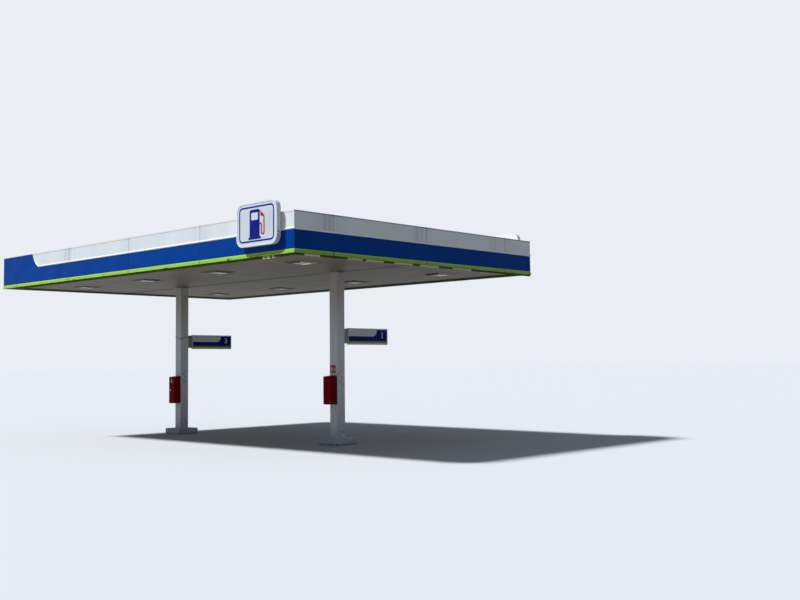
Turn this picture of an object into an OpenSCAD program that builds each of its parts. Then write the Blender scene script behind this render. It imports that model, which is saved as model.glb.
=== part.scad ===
// Filling station canopy: two square columns carry a flat roof with a deep coloured fascia.
// Millimetres, Z up. The origin is on the ground, midway between the two columns.
// X runs along the long fascias, and the front is the -Y side.

/* [Roof] */
// Length over the fascia faces
canopy_l = 12750; // [11600:50:15000]
// Width over the fascia faces
canopy_w = 8000; // [7000:50:9600]
// Clear height under the fascia
clearance = 4235; // [3800:5:5200]
// Fall of the roof deck towards the middle gutter, in millimetres for each metre
roof_fall = 20; // [10:1:30]
// Height of the ribs in the roof deck
rib_h = 35; // [20:1:45]
// Spacing of the ribs in the roof deck
rib_pitch = 207; // [150:1:300]
// Width of the middle gutter
gutter_w = 300; // [200:10:360]
// Inner radius of the gutter outlets
outlet_r = 50; // [30:1:70]

/* [Fascia] */
// Height of the green trim
green_h = 90; // [60:5:140]
// Height of the blue band
blue_h = 390; // [300:5:600]
// Height of the white band
white_h = 390; // [250:5:500]
// How far the lower edge of the green trim stands out
green_flare = 20; // [5:1:40]
// Width of the underside of the green trim
return_w = 200; // [140:5:300]
// Length of a standard cassette
cassette_l = 2930; // [2400:10:3300]
// Length of the corner cassette at the blue end
corner_l = 820; // [500:10:1200]
// Place of the seam nearest the middle of the long fascias
front_seam_x = 230; // [-300:10:500]
// Open joint between two cassettes
joint_gap = 6; // [3:1:10]
// Depth of the folded edges of a cassette
cassette_d = 30; // [20:1:40]
// Thickness of the cassette sheet
sheet_t = 4; // [2:0.5:6]
// Distance from the blue end to the middle of the curve where the white band starts
curve_in = 2310; // [2000:5:3000]
// Height of the middle of that curve above the roof edge
curve_rise = 157; // [60:1:400]
// Sideways reach of that curve at the foot of the white band
curve_run = 234; // [150:1:450]
// Height of the bright bead at the foot of the white band
bead_h = 44; // [34:1:60]
// How far the bead stands out
bead_proud = 16; // [8:1:16]
// Width of the coping on top of the fascia
coping_w = 150; // [120:5:200]
// Height of the coping's outer edge
coping_edge = 25; // [15:1:40]
// Side of the square tubes in the frame behind the fascia
frame_tube = 40; // [30:1:50]

/* [Soffit] */
// Height of the soffit above the lower edge of the fascia
soffit_lift = 40; // [20:1:80]
// Spacing of the soffit boards
board_pitch = 100; // [80:1:150]
// Face width of a soffit board
board_w = 84; // [60:1:140]
// Depth of the flute between two boards
flute_d = 12; // [6:1:20]
// Thickness of the boards
board_t = 3; // [2:0.5:4]
// Length of the open slot at the inner end of each flute
slot_l = 35; // [15:1:60]
// Gap left round a column where it passes through the soffit
soffit_clear = 6; // [2:1:15]
// Side of the rails that carry the boards
rail_side = 40; // [30:1:50]

/* [Lights] */
// Side of a light
light_side = 510; // [400:5:600]
// Height of a light below the soffit
light_h = 30; // [24:1:38]
// Slope of the light's sides, measured across
light_bevel = 36; // [10:1:50]
// Side of the glass
lens_side = 390; // [250:5:400]
// Spacing of the lights along the canopy
light_pitch = 3130; // [2600:10:3400]
// Distance of each row of lights from the middle
light_y = 2320; // [1500:10:2800]

/* [Columns] */
// Distance between the column centres
column_spacing = 6680; // [5600:10:7200]
// Side of the square column
column_side = 265; // [200:5:300]
// Wall of the column
column_wall = 10; // [6:1:16]
// Radius of the column corners
column_round = 8; // [4:1:14]
// Side of the plate on top of a column
cap_side = 330; // [305:5:400]
// Thickness of the plate on top of a column
cap_t = 20; // [10:1:30]
// Side of the plinth
plinth_side = 660; // [560:10:900]
// Height of the plinth
plinth_h = 165; // [130:5:260]
// Chamfer along the top of the plinth
plinth_chamfer = 12; // [4:1:25]
// Depth of the socket that holds the foot of a column
socket_d = 100; // [60:5:110]

/* [Steelwork] */
// Depth of the main beam
beam_h = 290; // [240:10:340]
// Width of the main beam
beam_w = 300; // [240:10:300]
// Thickness of the flanges
flange_t = 14; // [8:1:20]
// Thickness of the webs
web_t = 9; // [6:1:14]
// Depth of the cross beams
cross_h = 160; // [120:10:200]
// Width of the cross beams
cross_w = 82; // [60:1:120]
// Distance of the last cross beams from the ends of the roof
cross_in = 275; // [200:5:400]
// Free height between the soffit rails and the main beam
void_h = 70; // [40:5:150]
// Height of the purlins nearest the gutter
purlin_h = 60; // [50:1:80]
// Width of a purlin
purlin_w = 50; // [40:1:60]
// Thickness of the purlins and rails
channel_t = 3; // [2:0.5:5]

/* [Signs] */
// Width of a sign box
sign_w = 1320; // [1000:10:1500]
// Height of a sign box
sign_h = 920; // [700:10:1000]
// Depth of a sign box
sign_d = 112; // [60:1:160]
// Corner radius of a sign box
sign_round = 190; // [100:5:230]
// Width of the raised rim of a sign box
sign_rim = 34; // [15:1:50]
// Height of the raised rim
rim_proud = 8; // [3:1:14]
// Distance from the white end to the middle of a sign box
sign_in = 1055; // [900:5:1200]
// Height of a sign box above the lower edge of the fascia
sign_lift = 218; // [160:2:260]
// Gap between a sign box and the fascia face
sign_gap = 18; // [18:1:40]

/* [Number flags] */
// Length of a number flag
flag_l = 1425; // [1200:5:1900]
// Height of a number flag
flag_h = 400; // [300:5:500]
// Thickness of a number flag
flag_t = 60; // [50:1:110]
// Height of a number flag above the ground
flag_z = 2490; // [2300:10:2900]
// Width of the frame round a number flag
flag_rim = 16; // [12:1:40]
// Depth of the faces behind the frame
flag_recess = 5; // [2:1:10]
// Depth of the bracket between the column and the flag
bracket_d = 217.5; // [60:0.5:320]
// Thickness of that bracket
bracket_t = 36; // [20:1:46]

/* [Cabinets] */
// Width of a cabinet
cabinet_w = 285; // [250:1:320]
// Depth of the cabinet's body
shell_d = 160; // [120:1:220]
// Depth of the door
door_d = 45; // [28:1:60]
// Gap between the door and the body
door_gap = 5; // [5:0.5:8]
// Thickness of the cabinet's walls
cabinet_t = 3; // [2:0.5:4]
// How far the cabinet's top slopes down to the front
top_slope = 24; // [10:1:40]
// Height of the left cabinet at its door
left_cabinet_h = 762; // [600:2:800]
// Height of the right cabinet at its door
right_cabinet_h = 684; // [600:2:740]
// Height of the left cabinet above the ground
left_cabinet_z = 895; // [700:5:930]
// Height of the right cabinet above the ground
right_cabinet_z = 998; // [800:5:1020]
// Radius of the hinge pin
pin_r = 3; // [2:0.5:3]
// Length of a hinge knuckle
knuckle_l = 40; // [25:1:60]
// Radius of the round door catch
catch_r = 24; // [15:1:32]
// Side of the plate above the right cabinet
plate_side = 200; // [150:5:220]
// Thickness of that plate
plate_t = 3; // [2:0.5:5]

/* [Hidden] */
$fn = 64;

// Colours, as the object shows them
white_paint = "#dfe6ea";
blue_paint = "#0d4a9c";
green_paint = "#a9dc3f";
soffit_paint = "#8d8778";
column_paint = "#b9c4cc";
steel_grey = "#8a8f93";
roof_grey = "#a3a8aa";
red_paint = "#b3141c";

// Heights of the fascia bands
blue_z = clearance + green_h;
white_z = blue_z + blue_h;
roof_top = white_z + white_h;
coping_t = sheet_t;
panel_top = roof_top - coping_t;
trim_top = blue_z - joint_gap/2;

// Plan sizes
half_l = canopy_l/2;
half_w = canopy_w/2;
mitre_out = 100;
mitre_in = 600;
column_x = column_spacing/2;
column_half = column_side/2;

// Curve at the start of the white band
curve_x = curve_in - half_l;
curve_z = roof_top + curve_rise;
curve_r = sqrt(pow(white_h + curve_rise, 2) + pow(curve_run, 2));
curve_top_angle = asin(curve_rise/curve_r);
curve_foot_angle = 90 - asin(curve_run/curve_r);
bead_r = (pow(bead_h/2, 2) + pow(bead_proud, 2))/(2*bead_proud);

// Seams of the cassettes, as places along a side
long_seams = concat(
    [corner_l - half_l],
    [for (i = [-2:2])
        let (x = front_seam_x + i*cassette_l)
        if (x > corner_l - half_l + cassette_l/2 && x < half_l - corner_l/2) x]
);
short_seams = [for (i = [-2:2]) if (abs(i*cassette_l) < half_w - corner_l/2) i*cassette_l];

// Heights of the soffit and the steelwork
soffit_z = clearance + soffit_lift;
rail_z = soffit_z + board_t + flute_d;
beam_z = rail_z + rail_side + void_h + cap_t;
cross_z = beam_z + beam_h;
purlin_z = cross_z + cross_h;
column_top = beam_z - cap_t;
frame_depth = cassette_d + frame_tube;
cross_xs = [cross_in - half_l, -column_x, 0, column_x, half_l - cross_in];

// Purlins and rails, as distances from the middle
fall = roof_fall/1000;
seat = 0.3;
gutter_to_purlin = 100;
coping_to_purlin = 100;
first_purlin_y = gutter_w/2 + gutter_to_purlin;
last_purlin_y = half_w - coping_w - coping_to_purlin;
purlin_ys = [for (i = [0:3]) first_purlin_y + i*(last_purlin_y - first_purlin_y)/3];
deck_overlap = 20;
deck_y = gutter_w/2 - deck_overlap;
deck_edge = 8;
deck_t = 2;
deck_l = 2*(half_l - coping_w - deck_edge);
rib_crown = 42;
rib_slope = 18;
gutter_t = 3;
gutter_lip = 40;
gutter_h = purlin_h - fall*(first_purlin_y - gutter_w/2);
outlet_in = 500;
outlet_drop = 80;
return_cover = 60;
soffit_edge = return_w - return_cover;
soffit_half_l = half_l - soffit_edge;
soffit_half_w = half_w - soffit_edge;
beam_to_rail = 50;
edge_to_rail = 150;
rail_in = 50;
first_rail_y = beam_w/2 + beam_to_rail;
last_rail_y = soffit_half_w - edge_to_rail;
rail_ys = [for (i = [0:3]) first_rail_y + i*(last_rail_y - first_rail_y)/3];
hanger = 20;
soffit_seam = 3;
glass_t = 8;
glass_clear = 2;
light_lip = 3;
sign_pad = 60;

// Cabinets
cabinet_d = shell_d + door_gap + door_d;
cabinet_x = column_half - cabinet_w/2;
knuckle_r = 2*pin_r;
pin_clear = 0.06;
hinge_out = knuckle_r + 2;
hinge_x = column_half + hinge_out;
hinge_y = -column_half - shell_d - door_gap/2;
hinge_in = 90;
leaf_w = 24;
door_round = 14;
catch_in = 85;
catch_out = 8;
plate_x = -22;
plate_z = 1766;

// Rectangle with round corners, centred
module rounded_rect(w, h, r) {
    square([w - 2*r, h], center = true);
    square([w, h - 2*r], center = true);
    for (sx = [-1, 1], sy = [-1, 1])
        translate([sx*(w/2 - r), sy*(h/2 - r)]) circle(r);
}

// Extrudes a profile along X: its x becomes Y and its y becomes Z
module along_x(length) {
    rotate([90, 0, 90]) linear_extrude(length, center = true) children();
}

// Extrudes a profile along Y: its x stays X and its y becomes Z
module along_y(length) {
    rotate([90, 0, 0]) linear_extrude(length, center = true) children();
}

// Plan block with mitred ends that bounds one side of the roof
module mitre_block(length, face) {
    a = length/2;
    linear_extrude(2*roof_top) polygon([
        [-a - mitre_out, -face - mitre_out], [a + mitre_out, -face - mitre_out],
        [a - mitre_in, -face + mitre_in], [-a + mitre_in, -face + mitre_in]
    ]);
}

// Lays a profile along a side: its x is the distance outside the fascia face, its y the height
module side_run(length, face) {
    intersection() {
        translate([0, -face, 0])
            along_x(length + 2*mitre_out) mirror([1, 0]) children();
        mitre_block(length, face);
    }
}

// Turns a piece made for the front to the right, left or back side
module to_right() { rotate([0, 0, 90]) children(); }
module to_left() { rotate([0, 0, -90]) children(); }
module to_back() { mirror([0, 1, 0]) children(); }

// Profile of a rolled I section standing on y = 0
module i_section(h, w) {
    translate([-w/2, 0]) square([w, flange_t]);
    translate([-w/2, h - flange_t]) square([w, flange_t]);
    translate([-web_t/2, 0]) square([web_t, h]);
}

// Profile of a folded channel on y = 0, open to +x, with a top that rises with x
module channel(w, h, rise = 0) {
    t = channel_t;
    polygon([
        [0, 0], [w, 0], [w, t], [t, t], [t, h - t + rise*t],
        [w, h - t + rise*w], [w, h + rise*w], [0, h]
    ]);
}

// Outline in elevation of the white band on a long fascia, grown by g
module white_zone(g) {
    intersection() {
        translate([-2*half_l, white_z - g]) square([4*half_l, 2*white_h]);
        union() {
            translate([curve_x, curve_z]) circle(curve_r + g, $fn = 128);
            translate([curve_x, white_z - g]) square([2*half_l, 2*white_h]);
        }
    }
}

// Rectangle in elevation from x0 to x1 and z0 to z1, shrunk by s
module field(x0, x1, z0, z1, s) {
    translate([x0 + s, z0 + s]) square([x1 - x0 - 2*s, z1 - z0 - 2*s]);
}

// Folded cassette: children(0) is its outline and children(1) the outline inside its folds
module folded(face) {
    translate([0, -face, 0]) rotate([90, 0, 0]) difference() {
        translate([0, 0, -cassette_d]) linear_extrude(cassette_d) children(0);
        translate([0, 0, -cassette_d - 1]) linear_extrude(cassette_d - sheet_t + 1) children(1);
    }
}

// Row of cassettes from z0 to z1 along a side, split at its seams
module cassette_row(length, face, seams, z0, z1) {
    edges = concat([-length/2 - mitre_out], seams, [length/2 + mitre_out]);
    g = joint_gap/2;
    intersection() {
        for (i = [0:len(edges) - 2]) {
            folded(face) {
                field(edges[i] + g, edges[i + 1] - g, z0, z1, 0);
                field(edges[i] + g, edges[i + 1] - g, z0, z1, sheet_t);
            }
        }
        mitre_block(length, face);
    }
}

// Blue cassettes of a long fascia, full height up to the curve
module long_blue() {
    edges = concat([-half_l - mitre_out], long_seams, [half_l + mitre_out]);
    g = joint_gap/2;
    intersection() {
        for (i = [0:len(edges) - 2]) {
            folded(half_w) {
                difference() {
                    field(edges[i] + g, edges[i + 1] - g, blue_z, panel_top, 0);
                    white_zone(g);
                }
                difference() {
                    field(edges[i] + g, edges[i + 1] - g, blue_z, panel_top, sheet_t);
                    white_zone(g + sheet_t);
                }
            }
        }
        mitre_block(canopy_l, half_w);
    }
}

// White cassettes of a long fascia, from the curve to the white end
module long_white() {
    edges = concat([curve_x - curve_r], [for (x = long_seams) if (x > curve_x) x], [half_l + mitre_out]);
    g = joint_gap/2;
    intersection() {
        for (i = [0:len(edges) - 2]) {
            folded(half_w) {
                intersection() {
                    field(edges[i] + g, edges[i + 1] - g, white_z, panel_top, 0);
                    white_zone(-g);
                }
                intersection() {
                    field(edges[i] + g, edges[i + 1] - g, white_z, panel_top, sheet_t);
                    white_zone(-g - sheet_t);
                }
            }
        }
        mitre_block(canopy_l, half_w);
    }
}

// Rounded profile of the bead, with its flat back on x = 0 and its foot on y = 0
module bead_profile() {
    intersection() {
        translate([bead_proud - bead_r, bead_h/2]) circle(bead_r);
        square([bead_proud, bead_h]);
    }
}

module straight_bead(length, face) {
    side_run(length, face) translate([0, white_z]) bead_profile();
}

// Bead of a long fascia: along the foot of the white band and up its curve
module long_bead() {
    foot_x = curve_x - curve_run;
    arc = curve_foot_angle - curve_top_angle;
    intersection() {
        straight_bead(canopy_l, half_w);
        translate([foot_x, -canopy_w, 0]) cube([canopy_l, canopy_w, 2*roof_top]);
    }
    intersection() {
        translate([curve_x, -half_w, curve_z]) rotate([90, 180 - curve_top_angle, 0]) rotate([0, 0, -2])
            rotate_extrude(angle = arc + 6, $fn = 128) translate([curve_r, 0]) rotate(90) bead_profile();
        translate([-half_l, -canopy_w, white_z]) cube([canopy_l, canopy_w, white_h - coping_edge]);
    }
}

// Green trim: a flared face with its underside turned in to meet the soffit
module green_trim(length, face, seams) {
    t = sheet_t;
    inner = green_flare - return_w;
    leg = cassette_d + frame_tube/2;
    difference() {
        side_run(length, face) polygon([
            [-leg, trim_top], [0, trim_top], [green_flare, clearance], [inner, clearance],
            [inner, soffit_z], [inner + t, soffit_z], [inner + t, clearance + t],
            [green_flare - 1.2*t, clearance + t], [-t, trim_top - t], [-leg, trim_top - t]
        ]);
        for (x = seams)
            translate([x - joint_gap/3, -face - mitre_out, 0])
                cube([2*joint_gap/3, mitre_out + cassette_d/2, 2*roof_top]);
    }
}

// Coping: a cap with an outer edge over the cassettes and an inner leg down to the roof deck
module coping(length, face) {
    t = coping_t;
    foot = purlin_z + purlin_h;
    side_run(length, face) polygon([
        [t, roof_top - coping_edge], [t, roof_top], [-coping_w, roof_top], [-coping_w, foot],
        [t - coping_w, foot], [t - coping_w, panel_top], [0, panel_top], [0, roof_top - coping_edge]
    ]);
}

// Rails and posts behind one side of the fascia
module frame_side(length, face, posts) {
    side_run(length, face) {
        for (z = [trim_top, white_z - frame_tube/2, panel_top - frame_tube])
            translate([-frame_depth, z]) square(frame_tube);
    }
    for (x = posts)
        translate([x - frame_tube/2, -face + cassette_d, trim_top])
            cube([frame_tube, frame_tube, panel_top - trim_top]);
}

// Underside and top of the fluted soffit, as one closed outline
module board_profile() {
    n = floor((2*soffit_half_l - board_w)/board_pitch);
    x0 = -(n*board_pitch + board_w)/2;
    t = board_t;
    under = [for (i = [0:n]) let (x = x0 + i*board_pitch) each
        [[x, flute_d], [x, 0], [x + board_w, 0], [x + board_w, flute_d]]];
    over = [for (i = [n:-1:0]) let (x = x0 + i*board_pitch) each
        [[x + board_w - t, flute_d + t], [x + board_w - t, t], [x + t, t], [x + t, flute_d + t]]];
    polygon(concat(under, over));
}

// Boards of one half of the soffit, ending on the middle line
module soffit_half() {
    n = floor((2*soffit_half_l - board_w)/board_pitch);
    x0 = -(n*board_pitch + board_w)/2;
    hole = column_side + 2*soffit_clear;
    difference() {
        translate([0, -(soffit_half_w + soffit_seam/2)/2, soffit_z])
            along_y(soffit_half_w - soffit_seam/2) board_profile();
        for (i = [0:n - 1])
            translate([x0 + board_w + i*board_pitch, -slot_l, soffit_z + flute_d - 1])
                cube([board_pitch - board_w, slot_l + 1, board_t + 2]);
        for (x = [-column_x, column_x])
            translate([x - hole/2, -hole/2, soffit_z - 1]) cube([hole, hole, flute_d + board_t + 2]);
    }
}

// Ribbed roof sheet of one half, sloping down to the gutter
module deck_half() {
    n = floor(deck_l/rib_pitch);
    x0 = -n*rib_pitch/2;
    t = deck_t;
    rise = rib_pitch - rib_crown - 2*rib_slope;
    crown = rise + rib_slope;
    lower = [for (i = [0:n - 1]) let (x = x0 + i*rib_pitch) each
        [[x, 0], [x + rise, 0], [x + crown, rib_h], [x + crown + rib_crown, rib_h]]];
    top = [for (i = [n - 1:-1:0]) let (x = x0 + i*rib_pitch) each
        [[x + crown + rib_crown + t/2, rib_h + t], [x + crown - t/2, rib_h + t],
         [x + rise - t/2, t], [x + t/2, t]]];
    end = x0 + n*rib_pitch;
    length = (half_w - coping_w - deck_edge - deck_y)/cos(atan(fall));
    z = purlin_z + purlin_h + seat - fall*(first_purlin_y - deck_y);
    translate([0, -deck_y, z]) rotate([-atan(fall), 0, 0])
        translate([0, -length/2, 0]) along_y(length)
            polygon(concat(lower, [[end, 0], [end, t]], top));
}

// Purlins of one half, each tall enough for the fall of the deck
module purlins_half() {
    for (y = purlin_ys)
        translate([0, -y, purlin_z]) mirror([0, 1, 0])
            along_x(deck_l) channel(purlin_w, purlin_h + fall*(y - first_purlin_y), fall);
}

// Rails of one half of the soffit, with the hangers that hold them to the cross beams
module rails_half() {
    for (y = rail_ys) {
        translate([0, -y, rail_z]) along_x(2*(soffit_half_l - rail_in)) channel(rail_side, rail_side);
        for (x = cross_xs)
            translate([x - hanger/2, -y, rail_z + rail_side - channel_t])
                cube([hanger, hanger, cross_z - rail_z - rail_side + channel_t]);
    }
}

// One light, from the soffit down, with a pocket for its glass
module light_body() {
    top = light_side/2;
    foot = top - light_bevel;
    lip = light_lip;
    pocket = lens_side + 2*glass_clear;
    outline = [[-top, 0], [-top, -lip], [-foot, -light_h], [foot, -light_h], [top, -lip], [top, 0]];
    difference() {
        intersection() {
            along_x(light_side) polygon(outline);
            along_y(light_side) polygon(outline);
        }
        translate([-pocket/2, -pocket/2, -light_h - 1]) cube([pocket, pocket, glass_t + 1]);
    }
}

module light_row() {
    for (i = [-1.5:1:1.5])
        translate([i*light_pitch, -light_y, soffit_z]) light_body();
}

module glass_row() {
    for (i = [-1.5:1:1.5])
        translate([i*light_pitch - lens_side/2, -light_y - lens_side/2, soffit_z - light_h])
            cube([lens_side, lens_side, glass_t]);
}

// Sign box with a raised rim, held off the fascia by four pads
module sign_box() {
    x = half_l - sign_in;
    z = clearance + sign_lift + sign_h/2;
    pad = sign_pad;
    pad_z = [(blue_z + white_z)/2, (white_z + bead_h + roof_top - coping_edge)/2];
    translate([x, -half_w - sign_gap, z]) rotate([90, 0, 0]) difference() {
        linear_extrude(sign_d) rounded_rect(sign_w, sign_h, sign_round);
        translate([0, 0, sign_d - rim_proud]) linear_extrude(rim_proud + 1)
            rounded_rect(sign_w - 2*sign_rim, sign_h - 2*sign_rim, sign_round - sign_rim);
    }
    for (sx = [-1, 1], pz = pad_z)
        translate([x + sx*sign_w/3 - pad/2, -half_w - sign_gap, pz - pad/2]) cube([pad, sign_gap, pad]);
}

// Flag that carries a pump number, a board with faces set back inside a frame
module number_flag() {
    y0 = column_half + bracket_d;
    difference() {
        translate([-flag_t/2, y0, flag_z]) cube([flag_t, flag_l, flag_h]);
        for (s = [-1, 1])
            translate([s*flag_t/2 - flag_recess, y0 + flag_rim, flag_z + flag_rim])
                cube([2*flag_recess, flag_l - 2*flag_rim, flag_h - 2*flag_rim]);
    }
}

// Bracket that carries the flag, from the back of the column
module flag_bracket() {
    translate([-bracket_t/2, column_half, flag_z + flag_rim])
        cube([bracket_t, bracket_d, flag_h - 2*flag_rim]);
}

// Height of the cabinet's sloping top at a distance d from the column
function top_at(h, d) = h + top_slope*(1 - d/cabinet_d);

// Side outline of the cabinet from depth d0 to d1, inside a wall of w
module cabinet_side(h, d0, d1, w) {
    y = -column_half;
    polygon([
        [y - d0, w], [y - d1, w],
        [y - d1, top_at(h, d1) - w], [y - d0, top_at(h, d0) - w]
    ]);
}

// Body of a cabinet, open to the front, with two hinge pins on its right side
module cabinet_shell(h, z) {
    t = cabinet_t;
    translate([cabinet_x, 0, z]) difference() {
        along_x(cabinet_w) cabinet_side(h, 0, shell_d, 0);
        along_x(cabinet_w - 2*t) cabinet_side(h, t, shell_d + 1, t);
    }
    for (k = [hinge_in, h - hinge_in - 2*knuckle_l])
        translate([hinge_x, hinge_y, z + k]) {
            cylinder(h = knuckle_l, r = knuckle_r);
            cylinder(h = 2*knuckle_l - 1, r = pin_r);
            translate([-hinge_out, door_gap/2, 0]) hinge_leaf(knuckle_l);
        }
}

// Leaf of a hinge, flat on the side of the cabinet with a foot that reaches its knuckle
module hinge_leaf(height) {
    cube([cabinet_t, leaf_w, height]);
    cube([hinge_out, cabinet_t, height]);
}

// Solid shape of a door, inside a wall of w
module door_block(h, w) {
    back = w > 0 ? shell_d + door_gap - 1 : shell_d + door_gap;
    side = cabinet_w - 2*w;
    intersection() {
        along_x(side) cabinet_side(h, back, cabinet_d - w, w);
        translate([0, cabinet_w/2 - column_half - cabinet_d, -1])
            linear_extrude(2*h) rounded_rect(side, side, door_round - w);
    }
}

// Door of a cabinet, with rounded front edges, knuckles and a round catch
module cabinet_door(h, z) {
    front_y = -column_half - cabinet_d;
    catch_x = cabinet_x - cabinet_w/2 + catch_in;
    difference() {
        union() {
            translate([cabinet_x, 0, z]) difference() {
                door_block(h, 0);
                door_block(h, cabinet_t);
            }
            for (k = [hinge_in, h - hinge_in - 2*knuckle_l])
                translate([hinge_x, hinge_y, z + k + knuckle_l + 1]) {
                    cylinder(h = knuckle_l - 1, r = knuckle_r);
                    translate([-hinge_out, -door_gap/2, 0]) mirror([0, 1, 0]) hinge_leaf(knuckle_l - 1);
                }
            translate([catch_x, front_y, z + h/2])
                rotate([90, 0, 0]) cylinder(h = catch_out, r = catch_r);
        }
        for (k = [hinge_in, h - hinge_in - 2*knuckle_l])
            translate([hinge_x, hinge_y, z + k + knuckle_l])
                cylinder(h = knuckle_l + 1, r = pin_r + pin_clear);
        translate([catch_x - cabinet_t/2, front_y - catch_out - 1, z + h/2 - catch_r/2])
            cube([cabinet_t, catch_out/2 + 1, catch_r]);
    }
}

module plinth() {
    a = plinth_side/2;
    c = plinth_chamfer;
    outline = [[-a, 0], [a, 0], [a, plinth_h - c], [a - c, plinth_h], [c - a, plinth_h], [-a, plinth_h - c]];
    difference() {
        intersection() {
            along_x(plinth_side) polygon(outline);
            along_y(plinth_side) polygon(outline);
        }
        translate([0, 0, plinth_h - socket_d]) linear_extrude(socket_d + 1)
            rounded_rect(column_side + 0.6, column_side + 0.6, column_round);
    }
}

module column() {
    foot = plinth_h - socket_d;
    translate([0, 0, foot]) linear_extrude(column_top - foot) difference() {
        rounded_rect(column_side, column_side, column_round);
        square(column_side - 2*column_wall, center = true);
    }
    translate([-cap_side/2, -cap_side/2, column_top]) cube([cap_side, cap_side, cap_t]);
}

module plinth_left() { color(column_paint) translate([-column_x, 0, 0]) plinth(); }
module plinth_right() { color(column_paint) translate([column_x, 0, 0]) plinth(); }
module column_left() { color(column_paint) translate([-column_x, 0, 0]) column(); }
module column_right() { color(column_paint) translate([column_x, 0, 0]) column(); }

module main_beam() {
    color(steel_grey) translate([0, 0, beam_z]) along_x(canopy_l - 2*frame_depth) i_section(beam_h, beam_w);
}

module cross_beams() {
    color(steel_grey) for (x = cross_xs)
        translate([x, 0, cross_z]) along_y(canopy_w - 2*frame_depth) i_section(cross_h, cross_w);
}

module roof_purlins() {
    color(steel_grey) {
        purlins_half();
        to_back() purlins_half();
    }
}

// Middle gutter, closed at its ends, with one outlet beside each column
module roof_gutter() {
    w = gutter_w/2;
    t = gutter_t;
    outlet_x = column_x - outlet_in;
    color(roof_grey) difference() {
        union() {
            translate([0, 0, purlin_z]) along_x(deck_l) {
                translate([-w, 0]) square([2*w, t]);
                for (s = [-1, 1]) {
                    translate([s*(w - t/2) - t/2, 0]) square([t, gutter_h]);
                    translate([s*(w + gutter_lip/2 - t/2) - gutter_lip/2, gutter_h - t])
                        square([gutter_lip, t]);
                }
            }
            for (s = [-1, 1]) {
                translate([s*(deck_l - t)/2 - t/2, -w, purlin_z]) cube([t, 2*w, gutter_h]);
                translate([s*outlet_x, 0, purlin_z - outlet_drop]) cylinder(h = outlet_drop, r = outlet_r + t);
            }
        }
        for (s = [-1, 1])
            translate([s*outlet_x, 0, purlin_z - outlet_drop - 1])
                cylinder(h = outlet_drop + t + 2, r = outlet_r);
    }
}

module roof_deck_front() { color(roof_grey) deck_half(); }
module roof_deck_back() { color(roof_grey) to_back() deck_half(); }

module fascia_frame() {
    color(steel_grey) {
        frame_side(canopy_l, half_w, cross_xs);
        to_back() frame_side(canopy_l, half_w, cross_xs);
        to_right() frame_side(canopy_w, half_l, [-last_purlin_y, 0, last_purlin_y]);
        to_left() frame_side(canopy_w, half_l, [-last_purlin_y, 0, last_purlin_y]);
    }
}

module soffit_rails() {
    color(steel_grey) {
        rails_half();
        to_back() rails_half();
    }
}

module soffit_front() { color(soffit_paint) soffit_half(); }
module soffit_back() { color(soffit_paint) to_back() soffit_half(); }

module blue_fascia_front() { color(blue_paint) long_blue(); }
module blue_fascia_back() { color(blue_paint) to_back() long_blue(); }
module blue_fascia_right() {
    color(blue_paint) to_right()
        cassette_row(canopy_w, half_l, short_seams, blue_z, white_z - joint_gap/2);
}
module blue_fascia_left() {
    color(blue_paint) to_left() cassette_row(canopy_w, half_l, short_seams, blue_z, panel_top);
}

module white_fascia_front() { color(white_paint) long_white(); }
module white_fascia_back() { color(white_paint) to_back() long_white(); }
module white_fascia_right() {
    color(white_paint) to_right()
        cassette_row(canopy_w, half_l, short_seams, white_z + joint_gap/2, panel_top);
}

module fascia_bead_front() { color("white") long_bead(); }
module fascia_bead_back() { color("white") to_back() long_bead(); }
module fascia_bead_right() { color("white") to_right() straight_bead(canopy_w, half_l); }

module green_trim_front() { color(green_paint) green_trim(canopy_l, half_w, long_seams); }
module green_trim_back() { color(green_paint) to_back() green_trim(canopy_l, half_w, long_seams); }
module green_trim_right() { color(green_paint) to_right() green_trim(canopy_w, half_l, short_seams); }
module green_trim_left() { color(green_paint) to_left() green_trim(canopy_w, half_l, short_seams); }

module coping_front() { color(white_paint) coping(canopy_l, half_w); }
module coping_back() { color(white_paint) to_back() coping(canopy_l, half_w); }
module coping_right() { color(white_paint) to_right() coping(canopy_w, half_l); }
module coping_left() { color(blue_paint) to_left() coping(canopy_w, half_l); }

module soffit_lights() {
    color(steel_grey) {
        light_row();
        to_back() light_row();
    }
}
module light_glasses() {
    color("ivory") {
        glass_row();
        to_back() glass_row();
    }
}

module sign_box_front() { color(white_paint) sign_box(); }
module sign_box_back() { color(white_paint) to_back() sign_box(); }

module flag_bracket_left() { color(steel_grey) translate([-column_x, 0, 0]) flag_bracket(); }
module flag_bracket_right() { color(steel_grey) translate([column_x, 0, 0]) flag_bracket(); }
module number_flag_left() { color(white_paint) translate([-column_x, 0, 0]) number_flag(); }
module number_flag_right() { color(white_paint) translate([column_x, 0, 0]) number_flag(); }

module cabinet_left() {
    color(red_paint) translate([-column_x, 0, 0]) cabinet_shell(left_cabinet_h, left_cabinet_z);
}
module cabinet_right() {
    color(red_paint) translate([column_x, 0, 0]) cabinet_shell(right_cabinet_h, right_cabinet_z);
}
module cabinet_door_left() {
    color(red_paint) translate([-column_x, 0, 0]) cabinet_door(left_cabinet_h, left_cabinet_z);
}
module cabinet_door_right() {
    color(red_paint) translate([column_x, 0, 0]) cabinet_door(right_cabinet_h, right_cabinet_z);
}

module pictogram_plate() {
    color(red_paint) translate([column_x + plate_x - plate_side/2, -column_half - plate_t, plate_z])
        cube([plate_side, plate_t, plate_side]);
}

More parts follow.
